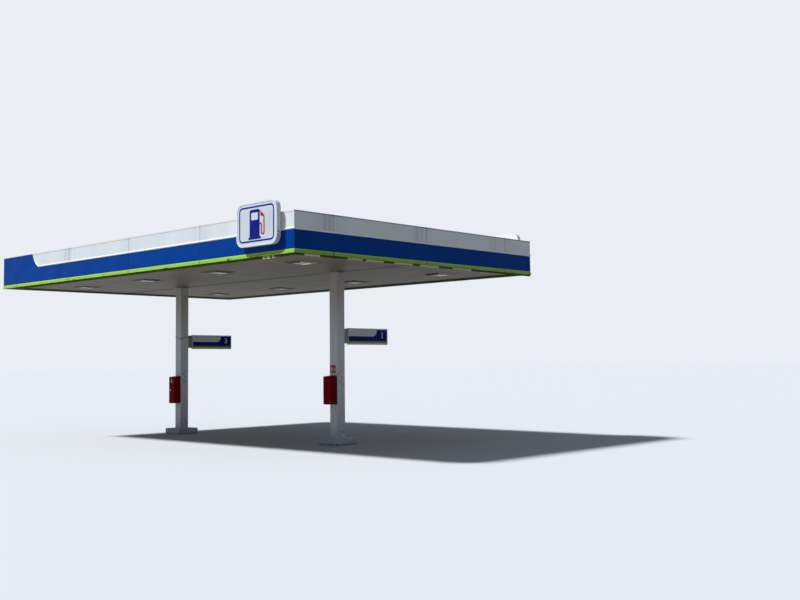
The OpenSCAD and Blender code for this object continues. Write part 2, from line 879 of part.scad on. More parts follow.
plinth_left();
plinth_right();
column_left();
column_right();
main_beam();
cross_beams();
roof_purlins();
roof_gutter();
roof_deck_front();
roof_deck_back();
fascia_frame();
soffit_rails();
soffit_front();
soffit_back();
blue_fascia_front();
blue_fascia_right();
blue_fascia_back();
blue_fascia_left();
white_fascia_front();
white_fascia_right();
white_fascia_back();
fascia_bead_front();
fascia_bead_right();
fascia_bead_back();
green_trim_front();
green_trim_right();
green_trim_back();
green_trim_left();
coping_front();
coping_right();
coping_back();
coping_left();
soffit_lights();
light_glasses();
sign_box_front();
sign_box_back();
flag_bracket_left();
flag_bracket_right();
number_flag_left();
number_flag_right();
cabinet_left();
cabinet_right();
cabinet_door_left();
cabinet_door_right();
pictogram_plate();
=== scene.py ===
"""Finishes a filling station canopy: coats, signs, number flags, cabinets, roof fixings and studio."""

import math

import bmesh
import bpy
from bpy.props import FloatProperty, FloatVectorProperty, PointerProperty
from mathutils import Matrix, Vector


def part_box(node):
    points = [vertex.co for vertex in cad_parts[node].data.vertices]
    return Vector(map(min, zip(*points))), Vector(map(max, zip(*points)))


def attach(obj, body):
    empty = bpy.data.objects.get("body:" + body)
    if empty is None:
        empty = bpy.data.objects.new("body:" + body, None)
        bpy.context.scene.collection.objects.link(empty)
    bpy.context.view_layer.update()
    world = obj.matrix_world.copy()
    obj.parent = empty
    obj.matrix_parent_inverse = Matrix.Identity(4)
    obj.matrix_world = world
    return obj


bl_info = {
    "name": "Filling Station Canopy",
    "version": (1, 0, 0),
    "blender": (4, 5, 0),
    "location": "View3D > Sidebar > Canopy",
    "description": "Adds coats, signs, number flags, cabinet details, roof fixings and a studio to a canopy",
    "category": "Object",
}

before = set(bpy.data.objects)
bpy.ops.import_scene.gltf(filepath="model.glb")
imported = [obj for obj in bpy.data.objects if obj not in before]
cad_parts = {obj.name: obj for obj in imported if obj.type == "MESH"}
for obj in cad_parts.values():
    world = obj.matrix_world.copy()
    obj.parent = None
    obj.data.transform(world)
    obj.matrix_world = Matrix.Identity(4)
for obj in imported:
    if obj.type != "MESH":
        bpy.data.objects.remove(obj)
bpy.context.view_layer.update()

X, Y, Z = Vector((1, 0, 0)), Vector((0, 1, 0)), Vector((0, 0, 1))
MM = 0.001

# Places taken from the CAD model, in metres
HALF_L = 6.375
HALF_W = 4.0
ROOF_LOW, ROOF_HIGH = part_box("coping_front")
ROOF_TOP = ROOF_HIGH.z
LONG_SEAMS = (-5.555, -2.7, 0.23, 3.16)
SHORT_SEAMS = (-2.93, 0.0, 2.93)
CASSETTE = 2.93
FIRST_SEAM = {"X": 0.23, "Y": 0.0}
CURVE_TOP_X = -4.64
TRIM_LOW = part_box("green_trim_front")[0]
TRIM_RETURN = 0.174
PURLINS = (0.25, 1.4167, 2.5833, 3.75)
RIB_PITCH = 0.207
RIB_COUNT = 60
RIB_CREST = 0.168
CREST_Z = 4.9673
ROOF_FALL = 0.02
OUTLET_X = 2.84
GUTTER_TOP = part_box("roof_gutter")[1].z
SOFFIT_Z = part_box("soffit_front")[0].z
BOARD_PITCH = 0.1
BOARD_W = 0.084
JOINT_Y = -0.132
LIGHT_XS = (-4.695, -1.565, 1.565, 4.695)
LIGHT_Y = 2.32
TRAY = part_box("soffit_lights")[1].x - LIGHT_XS[3]
GLASS_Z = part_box("light_glasses")[0].z
LENS = 0.39
COLUMN_X = 3.34
COLUMN_HALF = 0.1325
PLINTH_LOW, PLINTH_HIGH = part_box("plinth_right")
SIGN_LOW, SIGN_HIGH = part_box("sign_box_front")
SIGN_RIM = 0.034
RIM_PROUD = 0.008
FLAG_LOW, FLAG_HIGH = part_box("number_flag_right")
FLAG_RIM = 0.016
FLAG_RECESS = 0.005
BRACKET_LOW, BRACKET_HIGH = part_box("flag_bracket_right")
CABINET_W = 0.285
DOOR_GAP_Y = -0.2925
PLATE_LOW, PLATE_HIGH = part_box("pictogram_plate")

# Sizes of small things, in metres
DRIP_LEG = 0.045
FILM = 0.8 * MM
LABEL_T = 0.6 * MM
CATCH_T = 9 * MM
SIGN_PANEL = 3 * MM
PANEL_ROUND = 0.156
FIGURE_TOP = 2.4 * MM
FIGURE_SCALE = 1.1

SMOOTH = {"interpolation_type": "SMOOTHSTEP"}


def linear(hex_colour):
    """Turns an sRGB hex colour into Blender's linear red, green, blue and alpha."""
    values = [int(hex_colour[i:i + 2], 16) / 255 for i in (1, 3, 5)]
    return [v / 12.92 if v <= 0.04045 else ((v + 0.055) / 1.055) ** 2.4 for v in values] + [1.0]


def colour_setting(name, description, default):
    """Colour that a user may change, written as an sRGB hex value."""
    return FloatVectorProperty(
        name=name, description=description, subtype="COLOR", size=4, min=0, max=1, default=linear(default))


def length_setting(name, description, default, low, high):
    """Length that a user may change, in metres."""
    return FloatProperty(
        name=name, description=description, unit="LENGTH", default=default, min=low, max=high)


class CanopyColours(bpy.types.PropertyGroup):
    """Colours of the coats, boards, metals and signs."""

    white: colour_setting("White coat", "Upper cassettes of the fascia", "#E9F2F9")
    blue: colour_setting("Blue coat", "Lower cassettes of the fascia", "#00429B")
    green: colour_setting("Green coat", "Trim at the foot of the fascia", "#92C839")
    trim: colour_setting("Trim white", "Raised bead under the white cassettes", "#F4F8FB")
    coping: colour_setting("Coping", "Cap along the top of the fascia", "#F4EEEA")
    grime: colour_setting("Grime", "Rain streaks and dust on coats", "#5F625F")
    # The soffit colour is darkened to brown grey as painted shade; the boards themselves are paler
    soffit: colour_setting("Soffit boards", "Long boards of the underside", "#7C6F54")
    # The cool blue in the column and plinth colours is painted shade, the blue of shade under the sky
    column: colour_setting("Column paint", "Square columns", "#E2EAF4")
    plinth: colour_setting("Plinth paint", "Painted concrete feet", "#D0DDEC")
    rust: colour_setting("Rust", "Stains on painted steel", "#5E4A3A")
    # The lamp housing colour is darkened as painted shade
    lamp: colour_setting("Lamp housing", "Frames of the soffit lights", "#6B655B")
    lens: colour_setting("Lens", "Frosted panes of the lights", "#F2F3F0")
    zinc: colour_setting("Zinc", "Galvanised deck, gutter and purlins", "#A9AFB2")
    steel: colour_setting("Primed steel", "Beams and fascia frame", "#7C4A3A")
    sign: colour_setting("Sign face", "Acrylic panel of the sign boxes", "#D6E2EC")
    case: colour_setting("Sign case", "Painted case of the sign boxes", "#EDF3F8")
    print_blue: colour_setting("Blue film", "Blue fields and figures", "#0D1C86")
    print_green: colour_setting("Green film", "Green stripe of the flags", "#93AC1C")
    print_red: colour_setting("Red film", "Red lines and figures", "#B4182A")
    print_white: colour_setting("White film", "White fields and figures", "#F0F4F8")
    bracket: colour_setting("Bracket paint", "Brackets of the number flags", "#8D8986")
    flag: colour_setting("Flag frame", "Frames of the number flags", "#EAEEF3")
    cabinet: colour_setting("Cabinet plastic", "Moulded shells and doors", "#8C0008")
    enamel: colour_setting("Enamel", "Red plate over the right cabinet", "#A80A14")


class CanopySizes(bpy.types.PropertyGroup):
    """Sizes of the pieces that are added to the CAD model."""

    cover_w: length_setting("Joint cover width", "Cover over each joint of the coping", 0.1, 0.06, 0.2)
    cover_t: length_setting("Joint cover wall", "Sheet of the joint covers", 0.0012, 0.0008, 0.003)
    drip_h: length_setting("Front drip height", "Angle under the trim of the front", 0.057, 0.02, 0.08)
    drip_side_h: length_setting("Side drip height", "Angle under the trim at the right", 0.038, 0.02, 0.08)
    drip_in: length_setting("Drip setback", "From the foot of the trim to its angle", 0.024, 0.01, 0.05)
    drip_start: length_setting("Drip start", "From the left end to the front angle", 0.9, 0.0, 2.0)
    bezel_w: length_setting("Bezel width", "Frame round the pane of each light", 0.02, 0.01, 0.04)
    flange_w: length_setting("Flange width", "Dark flange round the tray of each light", 0.04, 0.02, 0.06)
    clip_w: length_setting("Clip width", "Clips over the gaps of the middle joint", 0.02, 0.01, 0.06)
    clip_h: length_setting("Clip height", "How far those clips hang down", 0.026, 0.01, 0.04)
    border_in: length_setting("Border inset", "From the edge of a sign panel to its border", 0.05, 0.02, 0.12)
    border_w: length_setting("Border width", "Line round a sign panel", 0.034, 0.01, 0.06)
    digit_h: length_setting("Digit height", "Digits on the number flags", 0.15, 0.08, 0.2)
    rail_h: length_setting("Rail height", "Rail along the foot of each number flag", 0.016, 0.01, 0.04)
    strap_h: length_setting("Strap width", "Strap tied round the left column", 0.015, 0.008, 0.04)
    strap_t: length_setting("Strap thickness", "Strap tied round the left column", 0.003, 0.001, 0.006)
    label_side: length_setting("Label side", "Square labels of the left cabinet", 0.054, 0.03, 0.08)


# Mesh helpers


def vertices(parts):
    """Vertices among the parts that a mesh operator returns."""
    return [part for part in parts if isinstance(part, bmesh.types.BMVert)]


def on_face(origin, right, out):
    """Frame of a flat face: x to the right, y up and z outwards."""
    right, out = Vector(right), Vector(out)
    turn = Matrix((right, out.cross(right), out)).transposed().to_4x4()
    return Matrix.Translation(Vector(origin)) @ turn


def join(bm, part, place=Matrix.Identity(4)):
    """Moves a finished part into the mesh of a piece."""
    bmesh.ops.transform(part, matrix=place, verts=part.verts[:])
    bmesh.ops.recalc_face_normals(part, faces=part.faces[:])
    mesh = bpy.data.meshes.new("part")
    part.to_mesh(mesh)
    part.free()
    bm.from_mesh(mesh)
    bpy.data.meshes.remove(mesh)


def block(bm, low, high):
    """Adds a box between two corners."""
    low, high = Vector(low), Vector(high)
    size = Matrix.Diagonal((*(high - low), 1))
    bmesh.ops.create_cube(bm, size=1.0, matrix=Matrix.Translation((low + high) / 2) @ size)


def thicken(bm, faces, height):
    """Gives flat faces a thickness."""
    grown = bmesh.ops.extrude_face_region(bm, geom=faces)["geom"]
    bmesh.ops.translate(bm, vec=(0, 0, height), verts=vertices(grown))


def outline(bm, low, high, height, radius=0.0, corners=((-1, -1), (1, -1), (1, 1), (-1, 1)), segments=12):
    """Starts a mesh with a flat rectangle, with the named corners round, and returns its face."""
    centre = Vector((low[0] + high[0], low[1] + high[1], 2 * height)) / 2
    size = Matrix.Diagonal((high[0] - low[0], high[1] - low[1], 1, 1))
    made = bmesh.ops.create_grid(
        bm, x_segments=1, y_segments=1, size=0.5, matrix=Matrix.Translation(centre) @ size)["verts"]
    if radius > 0:
        chosen = [vert for vert in made
                  if tuple(math.copysign(1, d) for d in (vert.co - centre).xy) in corners]
        bmesh.ops.bevel(bm, geom=chosen, offset=radius, offset_type="OFFSET", segments=segments,
                        profile=0.5, affect="VERTICES", material=-1)
    bm.faces.ensure_lookup_table()
    return bm.faces[0]


def plate(bm, low, high, bottom, top, radius=0.0, place=Matrix.Identity(4), **round_off):
    """Adds a flat plate with round corners between two heights."""
    part = bmesh.new()
    thicken(part, [outline(part, low, high, bottom, radius, **round_off)], top - bottom)
    join(bm, part, place)


def border(bm, half, top, radius, width, place=Matrix.Identity(4)):
    """Adds a flat frame with round corners round the middle of a face; half is its reach to either side."""
    part = bmesh.new()
    face = outline(part, (-half[0], -half[1]), half, 0, radius)
    ring = bmesh.ops.inset_region(
        part, faces=[face], thickness=width, use_boundary=True, use_even_offset=True)["faces"]
    inner = [f for f in part.faces if f not in ring]
    bmesh.ops.delete(part, geom=inner, context="FACES")
    thicken(part, part.faces[:], top)
    join(bm, part, place)


def disc(bm, radius, bottom, top, place, segments=24, taper=1.0):
    """Adds a round plate, smaller at the top when taper is under 1."""
    middle = Matrix.Translation((0, 0, (bottom + top) / 2))
    bmesh.ops.create_cone(bm, cap_ends=True, cap_tris=False, segments=segments, radius1=radius,
                          radius2=radius * taper, depth=top - bottom, matrix=place @ middle)


def bend(bm, centre, radius, width, start, sweep, top, place=Matrix.Identity(4), steps=12):
    """Adds a flat band that turns round a centre, by angles in degrees."""
    part = bmesh.new()
    section = Matrix.Translation((radius, 0, top / 2)) @ Matrix.Rotation(math.pi / 2, 4, "X")
    bmesh.ops.create_grid(part, x_segments=1, y_segments=1, size=0.5,
                          matrix=section @ Matrix.Diagonal((width, top, 1, 1)))
    bmesh.ops.spin(part, geom=part.verts[:] + part.edges[:] + part.faces[:], cent=(0, 0, 0), axis=(0, 0, 1),
                   angle=math.radians(sweep), steps=steps, use_merge=False)
    turn = Matrix.Translation((*centre, 0)) @ Matrix.Rotation(math.radians(start), 4, "Z")
    join(bm, part, place @ turn)


def drawn_out(bm, edges, run, wall):
    """Draws edges out along run into sheet with a wall."""
    grown = bmesh.ops.extrude_edge_only(bm, edges=edges)["geom"]
    bmesh.ops.translate(bm, vec=run, verts=vertices(grown))
    bmesh.ops.recalc_face_normals(bm, faces=bm.faces[:])
    bmesh.ops.solidify(bm, geom=bm.faces[:], thickness=wall)


def folded_strip(bm, points, run, wall):
    """Adds a strip of sheet that is folded along points and as long as run."""
    part = bmesh.new()
    line = [part.verts.new(point) for point in points]
    drawn_out(part, [part.edges.new(pair) for pair in zip(line, line[1:])], run, wall)
    join(bm, part)


def screw_head(bm, place, across, height):
    """Adds a pan head in two steps, a few dozen faces."""
    disc(bm, across / 2, 0, height * 0.55, place, segments=12)
    disc(bm, across / 2, height * 0.55, height, place, segments=12, taper=0.62)


def hex_screw(bm, place, across):
    """Adds a hexagon head on its washer, a few dozen faces."""
    disc(bm, across * 0.95, 0, 0.2 * across, place, segments=12, taper=0.92)
    disc(bm, across * 0.58, 0.2 * across, 0.75 * across, place, segments=6, taper=0.96)


def add_piece(bm, name, material, place=Matrix.Identity(4), body="canopy"):
    """Turns a mesh into a piece that rides on a CAD body."""
    bmesh.ops.transform(bm, matrix=place, verts=bm.verts[:])
    bmesh.ops.recalc_face_normals(bm, faces=bm.faces[:])
    mesh = bpy.data.meshes.new(name)
    bm.to_mesh(mesh)
    bm.free()
    mesh.materials.append(material)
    piece = bpy.data.objects.new(name, mesh)
    bpy.context.scene.collection.objects.link(piece)
    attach(piece, body)


def digit_mesh(text, height, depth, place):
    """Makes a digit of the built-in letters as a mesh, standing on a face."""
    curve = bpy.data.curves.new("digit", "FONT")
    curve.body = text
    # The built-in digits are 0.73 of their size high; they are made bolder and wider
    curve.size = height / 0.73
    curve.extrude = depth / 2
    curve.offset = 0.03 * height
    curve.align_x = "CENTER"
    curve.align_y = "CENTER"
    letter = bpy.data.objects.new("digit", curve)
    mesh = bpy.data.meshes.new_from_object(letter)
    bpy.data.objects.remove(letter)
    bpy.data.curves.remove(curve)
    bm = bmesh.new()
    bm.from_mesh(mesh)
    bpy.data.meshes.remove(mesh)
    bmesh.ops.remove_doubles(bm, verts=bm.verts[:], dist=0.01 * MM)
    stretch = Matrix.Translation((0, 0, depth / 2)) @ Matrix.Diagonal((1.12, 1, 1, 1))
    bmesh.ops.transform(bm, matrix=place @ stretch, verts=bm.verts[:])
    return bm


def dress(material, *nodes):
    """Gives CAD nodes their finish."""
    for name in nodes:
        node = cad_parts[name]
        if not node.material_slots:
            node.data.materials.append(material)
        for slot in node.material_slots:
            slot.material = material


# Material helpers


def add(tree, kind, inputs=(), **settings):
    """Adds a node with its settings; inputs, by place or name, take values, hex colours, sockets or nodes."""
    node = tree.nodes.new("ShaderNode" + kind)
    for name, value in settings.items():
        setattr(node, name, value)
    shown = [socket for socket in node.inputs if socket.enabled]
    for key, value in inputs.items() if isinstance(inputs, dict) else enumerate(inputs):
        socket = node.inputs[key] if isinstance(key, str) else shown[key]
        if isinstance(value, str):
            value = linear(value)
        if isinstance(value, bpy.types.Node):
            value = next(output for output in value.outputs if output.enabled)
        if isinstance(value, bpy.types.NodeSocket):
            tree.links.new(value, socket)
        else:
            socket.default_value = value
    return node


def start(name):
    """Starts a material, and returns it with its tree and the piece's own coordinates."""
    material = bpy.data.materials.new(name)
    material.use_nodes = True
    material.node_tree.nodes.clear()
    return material, material.node_tree, add(material.node_tree, "TexCoord").outputs["Object"]


def surface(material, colour, coats, roughness, bump=(), **sockets):
    """Ends a material. Coats lie over its colour in turn, and each is its share and its own colour. A bump
    is a height, its strength and its depth in metres. Names of other sockets have _ for each space."""
    tree = material.node_tree
    for share, coat in coats:
        colour = add(tree, "Mix", [share, colour, coat], data_type="RGBA")
    inputs = {"Base Color": colour, "Roughness": roughness}
    inputs.update((name.replace("_", " "), value) for name, value in sockets.items())
    if bump:
        inputs["Normal"] = add(tree, "Bump", dict(zip(("Height", "Strength", "Distance"), bump)))
    add(tree, "OutputMaterial", [add(tree, "BsdfPrincipled", inputs)])
    return material


def mottle(tree, place, size, low, high, to=(0.0, 1.0), detail=3.0, stretch=(1, 1, 1)):
    """Soft patches as large as size, in metres, drawn out by stretch."""
    spread = add(tree, "Mapping", {"Vector": place, "Scale": [1 / (size * s) for s in stretch]})
    noise = add(tree, "TexNoise", {"Vector": spread, "Scale": 1.0, "Detail": detail, "Roughness": 0.6})
    return add(tree, "MapRange", [noise, low, high, *to], **SMOOTH)


def spots(tree, place, points):
    """Ragged marks at known places: each point is x, y, z and a radius in metres."""
    total = 0.0
    for x, y, z, radius in points:
        away = add(tree, "VectorMath", [place, (x, y, z)], operation="DISTANCE")
        mark = add(tree, "MapRange", [away, 0.2 * radius, radius, 1.0, 0.0], **SMOOTH)
        total = add(tree, "Math", [total, mark], operation="MAXIMUM")
    torn = mottle(tree, place, 0.03, 0.3, 0.6, to=(-0.5, 0.35))
    ragged = add(tree, "Math", [total, torn], operation="ADD")
    edge = add(tree, "MapRange", [ragged, 0.3, 1.0, 0.0, 1.0], **SMOOTH)
    return add(tree, "Math", [total, edge], operation="MULTIPLY")


def beside(tree, along, stains, reach, rest=0.0):
    """Strength of dirt along a side: high at the stains, each a place and a strength, and low elsewhere."""
    total = rest
    for at, strength in stains:
        away = add(tree, "Math", [add(tree, "Math", [along, at], operation="SUBTRACT")], operation="ABSOLUTE")
        near = add(tree, "MapRange", [away, 0.0, reach, strength, 0.0], **SMOOTH)
        total = add(tree, "Math", [total, near], operation="MAXIMUM")
    return total


def lots(tree, number, dull, patches):
    """Tone that differs from one numbered sheet to the next, down to dull, with soft patches."""
    lot = add(tree, "TexWhiteNoise", {"W": number}, noise_dimensions="1D")
    tone = add(tree, "MapRange", [lot, 0.0, 1.0, dull, 1.0])
    return add(tree, "Math", [tone, patches], operation="MULTIPLY")


def in_light(tree, place):
    """Place along the roof, and places to the right and to the back of the nearest light's middle."""
    x, y, _ = add(tree, "SeparateXYZ", [place]).outputs
    inward = add(tree, "Math", [x, LIGHT_XS[2]], operation="SUBTRACT")
    u = add(tree, "Math", [inward, LIGHT_XS[2], LIGHT_XS[1]], operation="WRAP")
    row = add(tree, "Math", [y], operation="SIGN")
    return x, u, add(tree, "Math", [row, -LIGHT_Y, y], operation="MULTIPLY_ADD")


def seen(tree, *rays):
    """1 for rays of the named kinds, and 0 for all others."""
    path = add(tree, "LightPath").outputs
    total = path[rays[0]]
    for ray in rays[1:]:
        total = add(tree, "Math", [total, path[ray]], operation="MAXIMUM")
    return total


# Materials


def trim_wear_and_painted_light(tree, place, axis, foot_z):
    """Coats of wear and painted light on the green trim; the first is on the part turned in, up to foot_z."""
    axes = add(tree, "SeparateXYZ", [place]).outputs
    height = axes["Z"]
    # The part turned in at the foot is painted dark olive in torn patches, part road film and part painted
    # shade
    bitten = mottle(tree, place, 0.16, 0.57, 0.72, to=(0.0, 0.02), stretch=(1, 1, 40))
    low = add(tree, "Math", [height, bitten], operation="SUBTRACT")
    foot = add(tree, "MapRange", [low, foot_z, foot_z + 0.0012, 1.0, 0.0])
    patch = mottle(tree, place, 0.22, 0.44, 0.52, detail=4.0)
    torn = add(tree, "Mix", [patch, "#2E3220", "#5C6040"], data_type="RGBA")
    # The trim is folded along its middle; its upper part is painted lighter as a painted highlight, and a
    # painted shade line runs along the fold
    painted_highlight_top = add(tree, "MapRange", [height, foot_z + 0.062, foot_z + 0.066, 0.0, 0.45])
    above_fold = add(tree, "Math", [height, foot_z + 0.035], operation="SUBTRACT")
    off_fold = add(tree, "Math", [above_fold], operation="ABSOLUTE")
    painted_fold_shade = add(tree, "MapRange", [off_fold, 0.003, 0.007, 0.4, 0.0])
    # The side that looks in at the boards is painted dark brown, painted shade with some road film
    across = add(tree, "Math", [axes["Y" if axis == "X" else "X"]], operation="ABSOLUTE")
    inner = (HALF_W if axis == "X" else HALF_L) - TRIM_RETURN
    inner_side_shade_and_film = add(tree, "MapRange", [across, inner, inner + 0.002, 0.92, 0.0])
    return [(foot, torn), (painted_highlight_top, "#BCF050"), (painted_fold_shade, "#5E8A1E"), (inner_side_shade_and_film, "#57503E")]


def powder_coat(name, colour, grime, axis, stains, streaks=0.5, gloss=0.36, shine=0.35, waves=0.5, marks=(),
                foot_z=None, beyond=None, joint=0.4, dusty_above=None):
    """Polyester powder coat on thin folded steel: satin, one tone a cassette, slow waves, rain streaks."""
    material, tree, place = start(name)
    axes = add(tree, "SeparateXYZ", [place]).outputs
    along = axes[axis]
    from_seam = add(tree, "Math", [along, FIRST_SEAM[axis]], operation="SUBTRACT")
    bay = add(tree, "Math", [from_seam, CASSETTE], operation="DIVIDE")
    number = add(tree, "Math", [bay], operation="FLOOR")
    tone = lots(tree, number, 0.955, mottle(tree, place, 1.2, 0.3, 0.7, to=(0.965, 1.0)))
    far = 1.0
    if beyond is not None:
        # Beyond a place along the side the coat has another colour
        at, other = beyond
        far = add(tree, "MapRange", [along, at - 0.005, at + 0.005, 0.0, 1.0])
        colour = add(tree, "Mix", [far, other, colour], data_type="RGBA")
    tint = add(tree, "HueSaturation", {"Value": tone, "Color": colour})
    # Rain draws streaks 15 to 60 mm wide down the sheet, mostly beside the joints and corners
    wide = mottle(tree, place, 0.11, 0.34, 0.64, stretch=(1, 1, 60))
    fine = mottle(tree, place, 0.02, 0.45, 0.75, to=(0.0, 0.7), stretch=(1, 1, 60))
    wash = add(tree, "Math", [wide, fine], operation="MAXIMUM")
    share = add(tree, "Math", [beside(tree, along, stains, 0.55, 0.05), streaks], operation="MULTIPLY")
    film = add(tree, "Math", [wash, share], operation="MULTIPLY")
    # A thin dark line of dirt lies in each joint
    seams = [(seam, joint) for seam in (LONG_SEAMS if axis == "X" else SHORT_SEAMS)]
    film = add(tree, "Math", [film, beside(tree, along, seams, 0.022)], operation="MAXIMUM")
    coats = [(film, grime)]
    rough = add(tree, "Math", [film, 0.4, gloss], operation="MULTIPLY_ADD")
    if foot_z is not None:
        wear_and_painted_light = trim_wear_and_painted_light(tree, place, axis, foot_z)
        coats += wear_and_painted_light
        dull = add(tree, "Math", [wear_and_painted_light[0][0], 0.95], operation="MULTIPLY")
        rough = add(tree, "Math", [rough, dull], operation="MAXIMUM")
    if dusty_above is not None:
        level = add(tree, "MapRange", [axes["Z"], dusty_above - 0.002, dusty_above - 0.0005, 0.0, 0.5])
        uneven = mottle(tree, place, 0.2, 0.2, 0.7, to=(0.75, 1.0))
        dust = add(tree, "Math", [level, uneven], operation="MULTIPLY")
        dust = add(tree, "Math", [dust, far], operation="MULTIPLY")
        coats.append((dust, "#E0D6CE"))
    if marks:
        coats.append((spots(tree, place, marks), "#262A1C"))
    # Orange peel is about 3 mm; it is drawn at 12 mm so that it shows
    peel = mottle(tree, place, 0.012, 0.0, 1.0, detail=1.0)
    skin = add(tree, "Bump", {"Height": peel, "Strength": 0.12, "Distance": 0.6 * MM})
    sag = mottle(tree, place, 0.55, 0.0, 1.0, detail=0.0)
    wavy = add(tree, "Bump", {"Height": sag, "Strength": waves, "Distance": 0.03, "Normal": skin})
    return surface(material, tint, coats, rough, Specular_IOR_Level=shine, Normal=wavy)


def drip_coat():
    """Green coat on a pressed steel drip angle: chalked olive darkened as painted shade, flaked to cream
    primer on the right.
    """
    material, tree, place = start("chalked_coat_on_drip_angle")
    x, y, _ = add(tree, "SeparateXYZ", [place]).outputs
    right = add(tree, "MapRange", [x, HALF_L - 0.05, HALF_L - 0.03, 0.0, 1.0])
    front = add(tree, "MapRange", [y, 0.03 - HALF_W, 0.05 - HALF_W, 1.0, 0.0])
    # Flakes are 0.3 to 0.7 m long and take the whole height of the angle
    side_flakes = ((-3.545, 0.7), (-2.315, 0.7), (-1.71, 0.97), (-0.79, 0.95), (0.1, 1.1), (1.25, 1.4))
    front_flakes = ((5.55, 0.62), (4.95, 0.4))
    side = add(tree, "Math", [beside(tree, y, side_flakes, 0.6), right], operation="MULTIPLY")
    face = add(tree, "Math", [beside(tree, x, front_flakes, 0.6), front], operation="MULTIPLY")
    flakes = add(tree, "Math", [side, face], operation="MAXIMUM")
    torn = mottle(tree, place, 0.12, 0.2, 0.8, to=(-0.2, 0.2), detail=4.0, stretch=(1, 1, 4))
    loose = add(tree, "Math", [flakes, torn], operation="ADD")
    bare = add(tree, "MapRange", [loose, 0.46, 0.54, 0.0, 1.0])
    chalk = mottle(tree, place, 0.09, 0.3, 0.7, detail=4.0)
    primer = add(tree, "Mix", [chalk, "#D6DAA2", "#E6E6C0"], data_type="RGBA")
    bump = add(tree, "Bump", {"Height": bare, "Strength": 0.5, "Distance": 0.6 * MM}, invert=True)
    # The dark olive base is darkened as painted shade
    return surface(material, "#343E0E", [(chalk, "#4A5518"), (bare, primer)], 0.7, Specular_IOR_Level=0.2,
                   Normal=bump)


def soffit_paint(colours):
    """Coil-coated steel boards: flat stone white, drawn darker as brown grey for painted shade, a tone a
    board, darker by the joint, columns and trim.
    """
    material, tree, place = start("coil_coated_soffit_board")
    x, y, _ = add(tree, "SeparateXYZ", [place]).outputs
    shifted = add(tree, "Math", [x, (BOARD_PITCH - BOARD_W) / 2], operation="ADD")
    board = add(tree, "Math", [add(tree, "Math", [shifted, BOARD_PITCH], operation="DIVIDE")],
                operation="FLOOR")
    # The boards behind the middle joint come from other lengths, so they have other tones
    half = add(tree, "Math", [y], operation="SIGN")
    number = add(tree, "Math", [half, 50.0, board], operation="MULTIPLY_ADD")
    tone = lots(tree, number, 0.84, mottle(tree, place, 1.6, 0.3, 0.7, to=(0.88, 1.0)))
    # Packs of boards, about half a metre of them, differ as well, and all are painted darker towards the left
    # end as painted shade
    pack = mottle(tree, place, 0.5, 0.35, 0.65, to=(0.8, 1.0), detail=2.0, stretch=(1, 80, 80))
    left_end_painted_shade = add(tree, "MapRange", [x, -6.0, 4.0, 0.74, 1.0])
    for change in (pack, left_end_painted_shade):
        tone = add(tree, "Math", [tone, change], operation="MULTIPLY")
    tint = add(tree, "HueSaturation", {"Value": tone, "Color": colours.soffit})
    # The boards are darker along the middle joint, round the columns and along the trim, in smeared patches,
    # with dust specks all over
    off_joint = add(tree, "Math", [y], operation="ABSOLUTE")
    total = add(tree, "MapRange", [off_joint, 0.02, 0.4, 0.15, 0.0], **SMOOTH)
    flat = add(tree, "Mapping", {"Vector": place, "Scale": (1.0, 2.4, 0.0)})
    greasy = [add(tree, "MapRange", [off_joint, HALF_W - 0.3, HALF_W, 0.0, 0.4], **SMOOTH)]
    for column in (-COLUMN_X, COLUMN_X):
        away = add(tree, "VectorMath", [flat, (column, 0, 0)], operation="DISTANCE")
        greasy.append(add(tree, "MapRange", [away, 0.16, 0.7, 0.7, 0.0], **SMOOTH))
    for near in greasy:
        total = add(tree, "Math", [total, near], operation="MAXIMUM")
    smear = mottle(tree, place, 0.3, 0.3, 0.65, to=(0.25, 1.0), stretch=(0.4, 2.5, 1))
    specks = mottle(tree, place, 0.02, 0.62, 0.75, to=(0.0, 0.45))
    dust = add(tree, "Math", [add(tree, "Math", [total, smear], operation="MULTIPLY"), specks],
               operation="MAXIMUM")
    dents = mottle(tree, place, 0.5, 0.0, 1.0, detail=1.0, stretch=(0.3, 1.5, 1))
    return surface(material, tint, [(dust, "#3E372B")], 0.55, (dents, 0.35, 0.012), Specular_IOR_Level=0.35)


def zinc_dip(name, colour, size):
    """Hot-dip galvanised steel: dull grey metal with spangles, and dark dirt where water stands."""
    material, tree, place = start(name)
    # Spangles are 10 to 20 mm; they are drawn a little larger on the roof so that they show
    cells = add(tree, "TexVoronoi", {"Vector": place, "Scale": 1 / size}, feature="F1")
    flake = add(tree, "SeparateColor", [cells.outputs["Color"]])
    tone = add(tree, "MapRange", [flake, 0.0, 1.0, 0.82, 1.0])
    tint = add(tree, "HueSaturation", {"Value": tone, "Color": colour})
    dirt = mottle(tree, place, 0.6, 0.45, 0.75, to=(0.0, 0.6), detail=6.0, stretch=(0.3, 1.6, 1))
    dull = add(tree, "Math", [flake, dirt], operation="ADD")
    rough = add(tree, "MapRange", [dull, 0.0, 1.6, 0.36, 0.72])
    return surface(material, tint, [(dirt, "#5C5A50")], rough, (flake, 0.15, 0.5 * MM), Metallic=0.75)


def primed_steel(colours):
    """Rolled sections in red oxide primer: dead flat with brush laps and grey mill scale where it is thin."""
    material, tree, place = start("red_oxide_primed_steel")
    laps = mottle(tree, place, 0.25, 0.35, 0.7, detail=5.0)
    scale = mottle(tree, place, 0.05, 0.62, 0.72)
    return surface(material, colours.steel, [(laps, "#8B5645"), (scale, "#5A5552")], 0.8, (laps, 0.3, MM))


